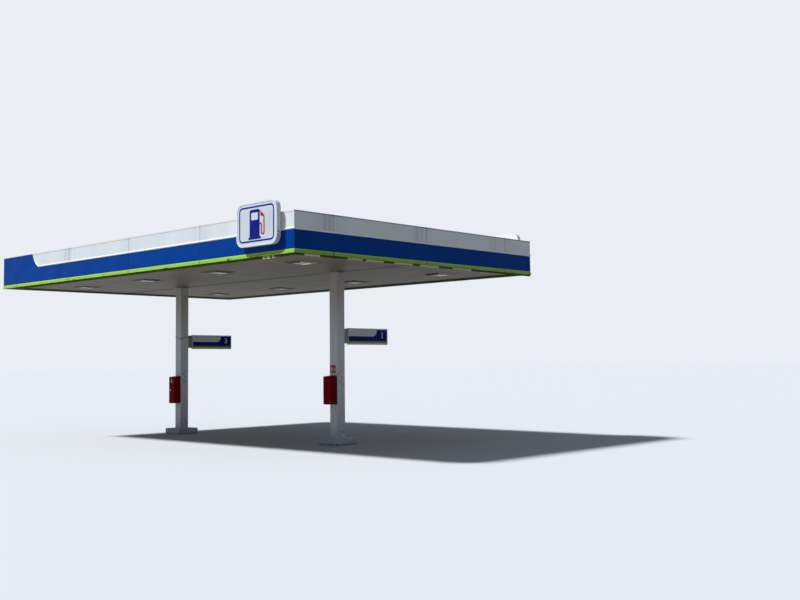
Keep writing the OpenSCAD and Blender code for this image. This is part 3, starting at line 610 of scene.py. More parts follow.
def column_enamel(colours):
    """Alkyd enamel rolled on square steel tube: chalky satin, painted warmer and darker under the soffit as
    painted shade, rust and scuffs.
    """
    material, tree, place = start("alkyd_enamel_on_steel_tube")
    height = add(tree, "SeparateXYZ", [place]).outputs["Z"]
    # Painted shade: the enamel is painted darker and warmer up towards the soffit
    high = add(tree, "MapRange", [height, 2.2, 4.2, 0.0, 1.0], **SMOOTH)
    patches = mottle(tree, place, 0.35, 0.35, 0.7, to=(0.0, 0.4), stretch=(1, 1, 3))
    # Rain runs down, and the ground splashes up
    runs = mottle(tree, place, 0.02, 0.52, 0.72, to=(0.0, 0.25), stretch=(1, 1, 40))
    low = add(tree, "MapRange", [height, 0.17, 0.6, 0.6, 0.0], **SMOOTH)
    splash = add(tree, "Math", [low, mottle(tree, place, 0.06, 0.35, 0.65)], operation="MULTIPLY")
    dirt = add(tree, "Math", [runs, splash], operation="MAXIMUM")
    # Rust and rubbed marks beside and below the cabinets
    sides = [(s * COLUMN_X + COLUMN_HALF, y, z, r) for s in (-1, 1) for y, z, r in
             ((-0.05, 1.74, 0.08), (0.03, 1.66, 0.06), (-0.02, 1.54, 0.09), (0.06, 1.48, 0.06),
              (-0.08, 1.6, 0.05), (0.0, 1.81, 0.05), (0.09, 0.3, 0.07))]
    fronts = [(x, -COLUMN_HALF, z, r) for x, z, r in
              ((-3.37, 0.84, 0.07), (-3.28, 0.8, 0.05), (3.3, 0.95, 0.06), (3.4, 0.9, 0.05))]
    rusty = mottle(tree, place, 0.018, 0.4, 0.55, to=(0.1, 0.55))
    stains = add(tree, "Math", [spots(tree, place, sides + fronts), rusty], operation="MULTIPLY")
    coats = [(high, "#BFB7AB"), (patches, "#CDD2D9"), (dirt, "#6B665E"), (stains, colours.rust)]
    stipple = mottle(tree, place, 0.008, 0.0, 1.0, detail=2.0)
    return surface(material, colours.column, coats, 0.42, (stipple, 0.2, 0.8 * MM))


def painted_concrete(colours):
    """Masonry paint on cast concrete: matt, pitted, with chipped edges and a dark tide line at the foot."""
    material, tree, place = start("masonry_paint_on_concrete")
    tone = mottle(tree, place, 0.25, 0.3, 0.7, to=(0.0, 0.5), detail=5.0)
    height = add(tree, "SeparateXYZ", [place]).outputs["Z"]
    low = add(tree, "MapRange", [height, 0.0, 0.07, 0.85, 0.0], **SMOOTH)
    damp = mottle(tree, place, 0.05, 0.3, 0.6, to=(0.35, 1.0))
    tide = add(tree, "Math", [low, damp], operation="MULTIPLY")
    # Chips along the edges of the right plinth and then of the left one
    x, y, top = PLINTH_HIGH.x, PLINTH_LOW.y, PLINTH_HIGH.z
    left = x - 2 * COLUMN_X
    broken = spots(tree, place, [
        (x, y, 0.02, 0.07), (x - 0.19, y, 0.012, 0.05), (x, y + 0.3, 0.03, 0.03), (x - 0.5, y, top, 0.03),
        (left, y, 0.02, 0.05), (left - 0.36, y, top, 0.03), (left, y + 0.4, top, 0.035)])
    coats = [(tone, "#AEB3B8"), (tide, "#4F4B46"), (broken, "#6F6C66")]
    pits = mottle(tree, place, 0.012, 0.25, 0.6)
    rise = add(tree, "Math", [broken, -3.0, pits], operation="MULTIPLY_ADD")
    return surface(material, colours.plinth, coats, 0.78, (rise, 0.5, 1.5 * MM))


def lamp_coat(colours):
    """Baked polyester on a pressed steel lamp tray: stone grey darkened as painted shade, sooty patches, a
    painted shade on the front slope and a painted highlight on the right slope.
    """
    material, tree, place = start("baked_polyester_lamp_tray")
    soot = mottle(tree, place, 0.12, 0.35, 0.7, to=(0.1, 0.6), detail=4.0)
    # The slope to the front is painted dark as painted shade; the slope to the right is painted pale under
    # the right end of the roof as a painted highlight
    x, u, v = in_light(tree, place)
    front = add(tree, "MapRange", [v, -0.212, -0.202, 0.75, 0.0])
    right = add(tree, "MapRange", [u, 0.206, 0.212, 0.0, 0.8])
    end = add(tree, "MapRange", [x, 2.5, 4.0, 0.0, 1.0])
    painted_highlight_slope = add(tree, "Math", [right, end], operation="MULTIPLY")
    coats = [(soot, "#4B463E"), (front, "#28241F"), (painted_highlight_slope, "#D6D2C8")]
    return surface(material, colours.lamp, coats, 0.5, (soot, 0.2, MM))


def frosted_lens(colours):
    """Prismatic acrylic pane: milky, with small pyramids that catch light, painted shade and highlight across
    it, and a painted glow.
    """
    material, tree, place = start("prismatic_acrylic_pane")
    # Each pane is painted dull in one corner and bright towards the other, painted shade and a painted
    # highlight: dull in the left corner of the right lights and in the right corner of the left ones
    x, u, v = in_light(tree, place)
    lean = add(tree, "MapRange", [x, -1.6, 3.0, -0.5, 1.0])
    painted_light_slope = add(tree, "Math", [add(tree, "Math", [u, v], operation="ADD"), lean], operation="MULTIPLY")
    clean = add(tree, "MapRange", [painted_light_slope, -0.22, 0.12, 0.25, 1.0], **SMOOTH)
    cloud = mottle(tree, place, 0.25, 0.3, 0.7, to=(0.0, 0.35))
    milky = add(tree, "Mix", [cloud, colours.lens, "#C9C6BD"], data_type="RGBA")
    # The far panes carry a painted glow, a painted reflection, most of all under the right end of the roof
    far = add(tree, "MapRange", [v, -0.01, 0.01, 0.0, 1.0])
    end = add(tree, "MapRange", [x, 0.5, 3.5, 0.02, 0.24])
    painted_glow = add(tree, "Math", [far, end, 0.03], operation="MULTIPLY_ADD")
    painted_glow = add(tree, "Math", [painted_glow, clean], operation="MULTIPLY")
    # The prisms are about 6 mm; they are drawn at 15 mm so that they show
    pitch = {"Vector": place, "Scale": 2 / (0.015 * math.tau)}
    waves = [add(tree, "TexWave", pitch, bands_direction=way).outputs["Fac"] for way in "XY"]
    prism = add(tree, "Math", waves, operation="MULTIPLY")
    return surface(material, "#6E6A60", [(clean, milky)], 0.22, (prism, 0.4, 2 * MM), IOR=1.49,
                   Emission_Color="#F1F4F6", Emission_Strength=painted_glow)


def sign_case(colours):
    """Painted aluminium sign case: satin pale grey, with drawn ribs round its side and rain marks."""
    material, tree, place = start("painted_aluminium_sign_case")
    runs = mottle(tree, place, 0.04, 0.5, 0.75, to=(0.0, 0.16), stretch=(1, 1, 25))
    # Ribs 14 mm apart go round the side; the front and back face are at one depth and stay flat
    depth = add(tree, "SeparateXYZ", [place]).outputs["Y"]
    folded = add(tree, "Math", [depth, 0.007], operation="PINGPONG")
    rib = add(tree, "Math", [folded, 0.007], operation="DIVIDE")
    return surface(material, colours.case, [(runs, colours.grime)], 0.4, (rib, 0.6, 3 * MM))


def cast_acrylic(colours):
    """Opal cast acrylic: clean even white with a soft gloss and a breath of dust in patches."""
    material, tree, place = start("opal_cast_acrylic")
    dust = mottle(tree, place, 0.35, 0.4, 0.75, to=(0.0, 0.3), stretch=(1, 1, 2))
    swell = mottle(tree, place, 0.4, 0.0, 1.0, detail=0.0)
    return surface(material, colours.sign, [(dust, "#B9C2CB")], 0.25, (swell, 0.3, 10 * MM),
                   IOR=1.49, Specular_IOR_Level=0.35)


def sign_film(name, colour, fade="#6A7080"):
    """Cut vinyl film: flat strong colour, satin, with faded patches and tiny bubbles."""
    material, tree, place = start(name)
    old = mottle(tree, place, 0.2, 0.4, 0.8, to=(0.0, 0.08), detail=4.0)
    bubbles = mottle(tree, place, 0.01, 0.55, 0.7)
    return surface(material, colour, [(old, fade)], 0.42, (bubbles, 0.12, 0.5 * MM), Specular_IOR_Level=0.05)


def moulded_red(colours):
    """Rotation-moulded polyethylene: deep red, soft gloss, lighter on its front, part sun chalking and part
    painted light, fine grain.
    """
    material, tree, place = start("moulded_polyethylene_red")
    depth = add(tree, "SeparateXYZ", [place]).outputs["Y"]
    # The front is painted lighter, part sun chalking and part painted light
    front = add(tree, "MapRange", [depth, -0.344, -0.338, 1.0, 0.0])
    chalk = mottle(tree, place, 0.3, 0.25, 0.75, to=(0.0, 0.3), detail=4.0)
    chalk_and_painted_light = add(tree, "Math", [front, chalk], operation="MULTIPLY")
    rub = mottle(tree, place, 0.05, 0.6, 0.78, to=(0.0, 0.5), stretch=(1, 1, 2))
    grain = mottle(tree, place, 0.004, 0.0, 1.0, detail=2.0)
    return surface(material, colours.cabinet, [(chalk_and_painted_light, "#960C14"), (rub, "#5E0C12")], 0.45,
                   (grain, 0.15, 0.6 * MM), Specular_IOR_Level=0.03)


def vitreous_enamel(colours):
    """Enamelled steel plate: glassy red with a faint ripple and chips at two corners."""
    material, tree, place = start("vitreous_enamel_red")
    low, high = PLATE_LOW, PLATE_HIGH
    chip = spots(tree, place, [(high.x, low.y, low.z, 0.02), (low.x, low.y, high.z, 0.012)])
    tone = mottle(tree, place, 0.1, 0.3, 0.7, to=(0.0, 0.25))
    ripple = mottle(tree, place, 0.04, 0.0, 1.0, detail=1.0)
    return surface(material, colours.enamel, [(tone, "#8A0F18"), (chip, "#2E2A28")], 0.14,
                   (ripple, 0.2, MM), Specular_IOR_Level=0.3)


def bracket_paint(colours):
    """Brushed-on gloss over steel plate: grey brown, brush lines along it, rust in spots."""
    material, tree, place = start("brushed_gloss_on_steel_plate")
    lines = mottle(tree, place, 0.006, 0.3, 0.7, to=(0.0, 0.3), stretch=(1, 12, 1))
    rust = mottle(tree, place, 0.04, 0.58, 0.72, to=(0.0, 0.6))
    return surface(material, colours.bracket, [(lines, "#6F6862"), (rust, colours.rust)], 0.45,
                   (lines, 0.5, 0.6 * MM))


def flag_coat(colours):
    """Powder coat on an extruded aluminium frame: satin light grey, faint rain marks."""
    material, tree, place = start("powder_coat_on_extrusion")
    film = mottle(tree, place, 0.03, 0.5, 0.72, to=(0.0, 0.25), stretch=(1, 1, 8))
    peel = mottle(tree, place, 0.01, 0.0, 1.0, detail=1.0)
    return surface(material, colours.flag, [(film, colours.grime)], 0.38, (peel, 0.12, 0.5 * MM),
                   Specular_IOR_Level=0.35)


def dark_rubber(name, tone):
    """EPDM rubber, mastic or woven strapping: matt, going grey, with a fine rib."""
    material, tree, place = start(name)
    bloom = mottle(tree, place, 0.05, 0.35, 0.7, to=(0.0, 0.5))
    rib = add(tree, "TexWave", {"Vector": place, "Scale": 60.0}, bands_direction="DIAGONAL").outputs["Fac"]
    return surface(material, tone, [(bloom, "#5B5B58")], 0.75, (rib, 0.25, 0.5 * MM))


def bright_screws(name, tone, rough):
    """Zinc or stainless screw heads: bright turned metal that has dulled in patches."""
    material, tree, place = start(name)
    dull = mottle(tree, place, 0.02, 0.4, 0.7, to=(0.0, 0.6))
    level = add(tree, "MapRange", [dull, 0.0, 0.6, rough, rough + 0.25])
    return surface(material, tone, [(dull, "#6A6660")], level, Metallic=0.9)


# Shapes of the figures


def pump_figure(bm):
    """Adds the common fuel pump figure about 0.56 m high: its foot and its body."""
    plate(bm, (-0.235, -0.29), (0.135, -0.245), 0, FIGURE_TOP, 0.012)
    plate(bm, (-0.2, -0.245), (0.1, 0.275), 0, FIGURE_TOP, 0.045, corners=((-1, 1), (1, 1)))


def window_figure(bm):
    """Adds the window of the pump figure."""
    plate(bm, (-0.15, 0.075), (0.05, 0.215), FIGURE_TOP, FIGURE_TOP + MM, 0.018)


def hose_figure(bm):
    """Adds the hose and nozzle of the pump figure."""
    w = 0.032
    plate(bm, (0.1, -0.02), (0.125, w - 0.02), 0, FIGURE_TOP)
    for x, low, high in ((0.153, -0.17, -0.034), (0.229, -0.17, 0.11)):
        plate(bm, (x - w / 2, low), (x + w / 2, high), 0, FIGURE_TOP)
    bend(bm, (0.125, -0.034), 0.028, w, 0, 90, FIGURE_TOP)
    bend(bm, (0.191, -0.17), 0.038, w, 180, 180, FIGURE_TOP)
    bend(bm, (0.199, 0.11), 0.03, w, 0, 45, FIGURE_TOP, steps=6)
    # The nozzle leans back towards the pump: grip, guard and spout
    slope = Matrix.Translation((0.199, 0.11, 0)) @ Matrix.Rotation(math.radians(45), 4, "Z")
    for low, high, radius, corners in (
            ((0.014, 0), (0.046, 0.1), 0.006, ((1, 1),)),
            ((-0.02, 0.035), (0.014, 0.1), 0.008, ((-1, -1),)),
            ((0.014, 0.1), (0.034, 0.165), 0.006, ((-1, 1), (1, 1)))):
        plate(bm, low, high, 0, FIGURE_TOP, radius, slope, corners=corners, segments=4)


def extinguisher_figure(bm, place, size, top):
    """Adds a plain extinguisher figure in a square of the given size."""
    square = place @ Matrix.Diagonal((size, size, 1, 1))
    plate(bm, (-0.33, -0.42), (-0.03, 0.16), 0, top, 0.1, square, segments=6)
    plate(bm, (-0.23, 0.15), (-0.13, 0.27), 0, top, 0.0, square)
    plate(bm, (-0.26, 0.26), (0.06, 0.33), 0, top, 0.02, square, segments=4)
    bend(bm, (-0.1, 0.12), 0.19, 0.055, -40, 120, top, square, steps=8)


def flame_figure(bm, place, size, top):
    """Adds a plain flame figure: a round foot drawn up to a point."""
    part = bmesh.new()
    radius = 0.17 * size
    bmesh.ops.create_circle(part, cap_ends=True, segments=24, radius=radius)
    for vert in part.verts:
        rise = max(vert.co.y, 0) / radius
        vert.co.y += 0.3 * size * rise ** 2.2
        vert.co.x = vert.co.x * (1 - 0.45 * rise) + 0.06 * size * math.sin(3 * rise)
    thicken(part, part.faces[:], top)
    join(bm, part, place @ Matrix.Translation((0.26 * size, -0.1 * size, 0)))


# Operators


def settings(context):
    """Colours and sizes that the scene holds."""
    return context.scene.canopy_colours, context.scene.canopy_sizes


class CANOPY_OT_fascia(bpy.types.Operator):
    """Coat the cassettes, bead and trim of the fascia, and add the drip angle."""

    bl_idname = "canopy.fascia"
    bl_label = "Coat Fascia"

    def execute(self, context):
        c, s = settings(context)
        long_stains = ((-5.555, 0.3), (-2.7, 0.7), (0.23, 0.25), (3.16, 0.35), (HALF_L, 0.2))
        short_stains = ((-3.15, 1.0), (-2.93, 0.6), (-0.25, 0.9), (2.6, 0.9), (2.93, 0.5))
        front_marks = [(4.22, -4.02, 4.25, 0.07), (4.32, -4.02, 4.262, 0.035), (-2.69, -4.02, 4.262, 0.03)]
        side_marks = [(6.39, -2.93, 4.306, 0.04), (6.39, 3.97, 4.27, 0.05)]
        blue = {"colour": c.blue, "grime": "#3F62A0", "gloss": 0.42, "shine": 0.03}
        green = {"colour": c.green, "grime": "#3C4A16", "gloss": 0.3, "shine": 0.16, "waves": 0.7,
                 "streaks": 0.3, "foot_z": TRIM_LOW.z + 0.0025, "joint": 0.95}
        white = {"colour": c.white, "grime": c.grime}
        bead = {"colour": c.trim, "grime": c.grime, "gloss": 0.3, "waves": 0.0, "streaks": 0.15}
        for name, axis, coat, more, nodes in (
                ("white_long", "X", white, {"streaks": 0.42}, ("white_fascia_front", "white_fascia_back")),
                ("white_short", "Y", white, {"streaks": 0.34}, ("white_fascia_right",)),
                ("blue_long", "X", blue, {"streaks": 0.12, "joint": 0.0},
                 ("blue_fascia_front", "blue_fascia_back")),
                ("blue_short", "Y", blue, {"streaks": 0.1, "marks": [(HALF_L, 0.0, 4.7, 0.035)]},
                 ("blue_fascia_right", "blue_fascia_left")),
                ("green_long", "X", green, {"marks": front_marks}, ("green_trim_front", "green_trim_back")),
                ("green_short", "Y", green, {"marks": side_marks}, ("green_trim_right", "green_trim_left")),
                ("bead", "X", bead, {}, ("fascia_bead_front", "fascia_bead_back", "fascia_bead_right"))):
            stains = long_stains if axis == "X" else short_stains
            dress(powder_coat("polyester_powder_" + name, axis=axis, stains=stains, **coat, **more), *nodes)
        # The drip angle: strips fixed under the trim along the front and the right side, folded down
        angle = bmesh.new()
        wall = 1.2 * MM
        x, y, z = -TRIM_LOW.x - s.drip_in, -TRIM_LOW.y - s.drip_in, TRIM_LOW.z - 1.4 * MM
        left = s.drip_start - x
        folded_strip(angle, [(left, DRIP_LEG - y, z), (left, -y, z), (left, -y, z - s.drip_h)],
                     (x - left, 0, 0), wall)
        z -= 1.5 * MM
        folded_strip(angle, [(x - DRIP_LEG, -y, z), (x, -y, z), (x, -y, z - s.drip_side_h)],
                     (0, 2 * y, 0), wall)
        add_piece(angle, "drip_angle", drip_coat())
        return {"FINISHED"}


class CANOPY_OT_coping(bpy.types.Operator):
    """Coat the coping and add a cover with rivets over each of its joints."""

    bl_idname = "canopy.coping"
    bl_label = "Finish Coping"

    def execute(self, context):
        c, s = settings(context)
        long_joints = [(x, 0.8) for x in LONG_SEAMS]
        short_joints = [(y, 0.8) for y in SHORT_SEAMS]
        coil = {"grime": c.grime, "gloss": 0.45}
        coats = {
            "pale": powder_coat("coil_coated_coping_long", c.coping, axis="X", stains=long_joints,
                                streaks=0.3, beyond=(CURVE_TOP_X, c.blue), dusty_above=ROOF_TOP, **coil),
            # The right coping is the coping's own coat painted grey, a shaded copy: painted shade
            "grey": powder_coat("coil_coated_coping_right_painted_shade", "#A6A7AA", axis="Y", stains=short_joints,
                                streaks=0.6, **coil),
            "blue": powder_coat("coil_coated_coping_left", c.blue, axis="Y", stains=short_joints,
                                streaks=0.3, shine=0.1, **coil),
        }
        dress(coats["pale"], "coping_front", "coping_back")
        dress(coats["grey"], "coping_right")
        dress(coats["blue"], "coping_left")
        covers = {key: bmesh.new() for key in coats}
        rivets = bmesh.new()
        half, t, depth = s.cover_w / 2, s.cover_t, ROOF_HIGH.y - ROOF_LOW.y
        places = [(x, side, 0) for x in LONG_SEAMS for side in (-1, 1)]
        places += [(y, 0, side) for y in SHORT_SEAMS for side in (-1, 1)]
        for at, long_side, short_side in places:
            face = abs(ROOF_LOW.y) if long_side else abs(ROOF_LOW.y) - HALF_W + HALF_L
            top = ROOF_TOP + t
            profile = ((face + t, ROOF_TOP - 0.03), (face + t, top), (face - depth, top))
            if long_side:
                points, run = [(at - half, long_side * d, z) for d, z in profile], (s.cover_w, 0, 0)
                key = "blue" if at < CURVE_TOP_X else "pale"
            else:
                points, run = [(short_side * d, at - half, z) for d, z in profile], (0, s.cover_w, 0)
                # The right covers take the grey coat, painted shade
                key = "grey" if short_side > 0 else "blue"
            folded_strip(covers[key], points, run, t)
            for shift in (at - 0.7 * half, at + 0.7 * half):
                for out in (face - 0.03, face - 0.12):
                    spot = (shift, long_side * out, top) if long_side else (short_side * out, shift, top)
                    screw_head(rivets, on_face(spot, X, Z), 0.012, 0.003)
        for key, coat in coats.items():
            add_piece(covers[key], "coping_covers_" + key, coat)
        add_piece(rivets, "coping_rivets",
                  bright_screws("aluminium_blind_rivets", "#B9BDC0", 0.35))
        return {"FINISHED"}


class CANOPY_OT_roof(bpy.types.Operator):
    """Finish the deck, gutter and steelwork, and add deck screws and gutter strainers."""

    bl_idname = "canopy.roof"
    bl_label = "Finish Roof"

    def execute(self, context):
        c, _ = settings(context)
        sheet = zinc_dip("hot_dip_zinc_deck", c.zinc, 0.022)
        dress(sheet, "roof_deck_front", "roof_deck_back", "roof_gutter")
        dress(zinc_dip("hot_dip_zinc_section", c.zinc, 0.015), "roof_purlins", "soffit_rails")
        dress(primed_steel(c), "main_beam", "cross_beams", "fascia_frame")
        screws = bmesh.new()
        first_x = -RIB_COUNT * RIB_PITCH / 2 + RIB_CREST
        for row, purlin in enumerate(PURLINS):
            away = purlin + 0.025
            height = CREST_Z + ROOF_FALL * (away - PURLINS[0])
            for i in range(row % 2, RIB_COUNT, 2):
                for side in (-1, 1):
                    out = Vector((0, -side * ROOF_FALL, 1)).normalized()
                    hex_screw(screws, on_face((first_x + i * RIB_PITCH, side * away, height), X, out), 0.012)
        add_piece(screws, "deck_screws",
                  bright_screws("zinc_plated_deck_screws", "#9CA0A2", 0.45))
        # Wire domes stand in the gutter outlets
        cages = bmesh.new()
        for x in (-OUTLET_X, OUTLET_X):
            dome = bmesh.new()
            bmesh.ops.create_uvsphere(dome, u_segments=14, v_segments=8, radius=0.056)
            bmesh.ops.bisect_plane(dome, geom=dome.verts[:] + dome.edges[:] + dome.faces[:], dist=0.0001,
                                   plane_co=(0, 0, 0), plane_no=(0, 0, 1), clear_inner=True)
            bmesh.ops.wireframe(dome, faces=dome.faces[:], thickness=0.003, use_replace=True,
                                use_boundary=True, use_even_offset=True)
            join(cages, dome, Matrix.Translation((x, 0, GUTTER_TOP - 0.055)))
        add_piece(cages, "gutter_strainers", sheet)
        return {"FINISHED"}


class CANOPY_OT_soffit(bpy.types.Operator):
    """Finish the boards and the lights, and add pane frames, flanges, joint clips and column collars."""

    bl_idname = "canopy.soffit"
    bl_label = "Finish Soffit"

    def execute(self, context):
        c, s = settings(context)
        boards, lamp = soffit_paint(c), lamp_coat(c)
        dress(boards, "soffit_front", "soffit_back")
        dress(lamp, "soffit_lights")
        dress(frosted_lens(c), "light_glasses")
        frames, flanges, screws = bmesh.new(), bmesh.new(), bmesh.new()
        half, reach = LENS / 2 + 0.006, TRAY + s.flange_w
        for x, y in ((x, y) for x in LIGHT_XS for y in (-LIGHT_Y, LIGHT_Y)):
            place = on_face((x, y, GLASS_Z), X, -Z)
            border(frames, (half, half), 0.004, 0.012, s.bezel_w, place)
            border(flanges, (reach, reach), 0.006, 0.0, s.flange_w, on_face((x, y, SOFFIT_Z), X, -Z))
            # A bar divides the panes, two latches hold the frame and a screw sits in each corner
            plate(frames, (0.01 - half, -0.012), (half - 0.01, 0.012), 0, 0.006, 0.0, place)
            for u in (-1, 1):
                plate(frames, (u * 0.1 - 0.014, -half - 0.012), (u * 0.1 + 0.014, 0.014 - half), 0, 0.008,
                      0.003, place, segments=3)
                for v in (-1, 1):
                    corner = place @ Vector((u * (half - 0.012), v * (half - 0.012), 0.004))
                    screw_head(screws, on_face(corner, X, -Z), 0.01, 0.003)
        add_piece(frames, "light_frames", lamp)
        # The flange is near black as painted shade round each tray
        add_piece(flanges, "light_flanges", dark_rubber("light_flange_painted_shade", "#2A2723"))
        add_piece(screws, "light_screws",
                  bright_screws("stainless_light_screws", "#B4B4B0", 0.3))
        clips, collars = bmesh.new(), bmesh.new()
        # The clips are near black, painted shade of the open slots along the middle joint
        for x in (i * BOARD_PITCH for i in range(-61, 62)):
            if abs(abs(x) - COLUMN_X) > 0.2:
                block(clips, (x - s.clip_w / 2, JOINT_Y - 0.004, SOFFIT_Z - s.clip_h),
                      (x + s.clip_w / 2, JOINT_Y + 0.004, SOFFIT_Z))
        add_piece(clips, "joint_clips", dark_rubber("joint_clips_painted_shade", "#080706"))
        side = COLUMN_HALF + 0.032
        for x in (-COLUMN_X, COLUMN_X):
            border(collars, (side, side), 0.0015, 0.004, 0.031, on_face((x, 0, SOFFIT_Z), X, -Z))
        add_piece(collars, "column_collars", boards)
        return {"FINISHED"}


class CANOPY_OT_signs(bpy.types.Operator):
    """Finish both sign boxes and add their panels, borders, pump figures and screws."""

    bl_idname = "canopy.signs"
    bl_label = "Finish Signs"

    def execute(self, context):
        c, s = settings(context)
        dress(sign_case(c), "sign_box_front", "sign_box_back")
        face = cast_acrylic(c)
        blue = sign_film("cut_vinyl_blue", c.print_blue)
        red = sign_film("cut_vinyl_red", c.print_red)
        dark = bright_screws("dark_case_screws", "#3A3B3D", 0.5)
        figures = (("pump_figure_", pump_figure, blue), ("pump_window_", window_figure, face),
                   ("pump_hose_", hose_figure, red))
        centre, size = (SIGN_LOW + SIGN_HIGH) / 2, SIGN_HIGH - SIGN_LOW
        half_u, half_v = (d / 2 - SIGN_RIM - MM for d in size.xz)
        for side, name in ((-1, "front"), (1, "back")):
            outer = abs(SIGN_LOW.y)
            place = on_face((centre.x, side * (outer - RIM_PROUD), centre.z), -side * X, side * Y)
            panel, line, screws = bmesh.new(), bmesh.new(), bmesh.new()
            plate(panel, (-half_u, -half_v), (half_u, half_v), 0, SIGN_PANEL, PANEL_ROUND, segments=20)
            add_piece(panel, "sign_panel_" + name, face, place)
            lift = place @ Matrix.Translation((0, 0, SIGN_PANEL))
            border(line, (half_u - s.border_in, half_v - s.border_in), 1.2 * MM, PANEL_ROUND - s.border_in,
                   s.border_w)
            add_piece(line, "sign_border_" + name, blue, lift)
            for piece, shape, film in figures:
                drawing = bmesh.new()
                shape(drawing)
                add_piece(drawing, piece + name, film,
                          lift @ Matrix.Diagonal((FIGURE_SCALE, FIGURE_SCALE, 1, 1)))
            middle = side * (outer - 0.05)
            for way in (-1, 1):
                end, edge = centre.x + way * size.x / 2, centre.z + way * size.z / 2
                for height in (-0.22, 0.22):
                    screw_head(screws, on_face((end, middle, centre.z + height), Y, way * X), 0.02, 0.004)
                for shift in (-0.4, 0.4):
                    screw_head(screws, on_face((centre.x + shift, middle, edge), X, way * Z), 0.02, 0.004)
            add_piece(screws, "sign_screws_" + name, dark)
        return {"FINISHED"}


class CANOPY_OT_flags(bpy.types.Operator):
    """Finish the number flags and brackets, and add their fields, digits, bolts and foot rails."""

    bl_idname = "canopy.flags"
    bl_label = "Finish Number Flags"

    def execute(self, context):
        c, s = settings(context)
        coat = flag_coat(c)
        dress(coat, "number_flag_left", "number_flag_right")
        dress(bracket_paint(c), "flag_bracket_left", "flag_bracket_right")
        films = {
            "blue": sign_film("flag_film_blue", c.print_blue),
            "green": sign_film("flag_film_green", c.print_green, "#7F8A3C"),
            "stripe": sign_film("flag_film_stripe", "#F3F6F8", "#C8CCD0"),
            "white": sign_film("flag_film_white", c.print_white, "#B9BEC6"),
        }
        centre, half = (FLAG_LOW + FLAG_HIGH) / 2, (FLAG_HIGH - FLAG_LOW) / 2
        inner = half.y - FLAG_RIM - 0.0005
        # Ends and heights of each field from the middle of its face, its thickness and its round corner
        layout = (("blue", -inner, inner - 0.006, -0.122, 0.168, FILM, 0.0),
                  ("green", -inner, inner - 0.006, -0.168, -0.122, FILM, 0.0),
                  ("stripe", -inner, 0.318, -0.002, 0.168, 1.3 * MM, 0.149),
                  ("white", -inner, 0.294, 0.022, 0.168, 1.9 * MM, 0.135))
        bolts, rails = bmesh.new(), bmesh.new()
        for column, name, digit in ((-COLUMN_X, "left", "3"), (COLUMN_X, "right", "1")):
            fields = {key: bmesh.new() for key in films}
            for side in (-1, 1):
                face_x = column + side * (half.x - FLAG_RECESS)
                place = on_face((face_x, centre.y, centre.z), side * Y, side * X)
                for key, near, far, low, high, top, radius in layout:
                    ends = sorted((side * near, side * far))
                    plate(fields[key], (ends[0], low), (ends[1], high), 0, top, radius, place,
                          corners=((side, -1),), segments=20)
                spot = place @ Matrix.Translation((side * 0.513, 0.032, FILM))
                figure = digit_mesh(digit, s.digit_h, FILM, spot)
                if digit == "1":
                    foot = s.digit_h / 2
                    plate(figure, (-0.3 * foot, -foot), (0.45 * foot, -0.78 * foot), 0, FILM, 0.0, spot)
                add_piece(figure, "digit_%s_%s" % (name, "near" if side > 0 else "far"),
                          films["stripe"])
                for u in (FLAG_RIM / 2 - half.y, 0, half.y - FLAG_RIM / 2):
                    for v in (FLAG_RIM / 2 - half.z, half.z - FLAG_RIM / 2):
                        point = place @ Vector((u, v, FLAG_RECESS))
                        screw_head(bolts, on_face(point, side * Y, side * X), 0.008, 0.002)
                plane = column + side * (BRACKET_HIGH.x - COLUMN_X)
                for y in (BRACKET_LOW.y + 0.035, BRACKET_HIGH.y - 0.03):
                    for z in (BRACKET_LOW.z + 0.05, BRACKET_HIGH.z - 0.05):
                        hex_screw(bolts, on_face((plane, y, z), side * Y, side * X), 0.018)
            for key, mesh in fields.items():
                add_piece(mesh, "flag_%s_%s" % (key, name), films[key])
            block(rails, (column - half.x, FLAG_LOW.y + 0.012, FLAG_LOW.z - s.rail_h),
                  (column + half.x, FLAG_HIGH.y - 0.012, FLAG_LOW.z))
        add_piece(bolts, "flag_bolts",
                  bright_screws("zinc_plated_bolts", "#8F8F8C", 0.45))
        add_piece(rails, "flag_rails", coat)
        return {"FINISHED"}


class CANOPY_OT_columns(bpy.types.Operator):
    """Finish the columns and plinths, and add the mastic at their feet and the strap on the left one."""

    bl_idname = "canopy.columns"
    bl_label = "Finish Columns"

    def execute(self, context):
        c, s = settings(context)
        dress(column_enamel(c), "column_left", "column_right")
        dress(painted_concrete(c), "plinth_left", "plinth_right")
        mastic, strap = bmesh.new(), bmesh.new()
        side = COLUMN_HALF + 0.012
        for x in (-COLUMN_X, COLUMN_X):
            border(mastic, (side, side), 0.006, 0.02, 0.0125, on_face((x, 0, PLINTH_HIGH.z), X, Z))
        add_piece(mastic, "column_mastic", dark_rubber("grey_mastic", "#6E6C68"))
        # The strap is pulled down over the near corner and tied there
        edge = COLUMN_HALF + 0.0006
        corners = ((-edge, -edge, 2.83), (edge, -edge, 2.767), (edge, edge, 2.832), (-edge, edge, 2.86))
        ring = [strap.verts.new((x - COLUMN_X, y, z)) for x, y, z in corners]
        edges = [strap.edges.new((ring[i], ring[(i + 1) % 4])) for i in range(4)]
        bmesh.ops.subdivide_edges(strap, edges=edges, cuts=7)
        for vert in strap.verts:
            x, y = abs(vert.co.x + COLUMN_X) / edge, abs(vert.co.y) / edge
            vert.co.z -= 0.01 * (1 - min(x, y) ** 2)
        drawn_out(strap, strap.edges[:], (0, 0, s.strap_h), -s.strap_t)
        knot = Vector((edge - COLUMN_X, -edge, 2.775))
        block(strap, knot + Vector((-0.02, -0.012, -0.015)), knot + Vector((0.012, 0.02, 0.015)))
        add_piece(strap, "column_strap", dark_rubber("woven_strapping", "#56524C"))
        return {"FINISHED"}


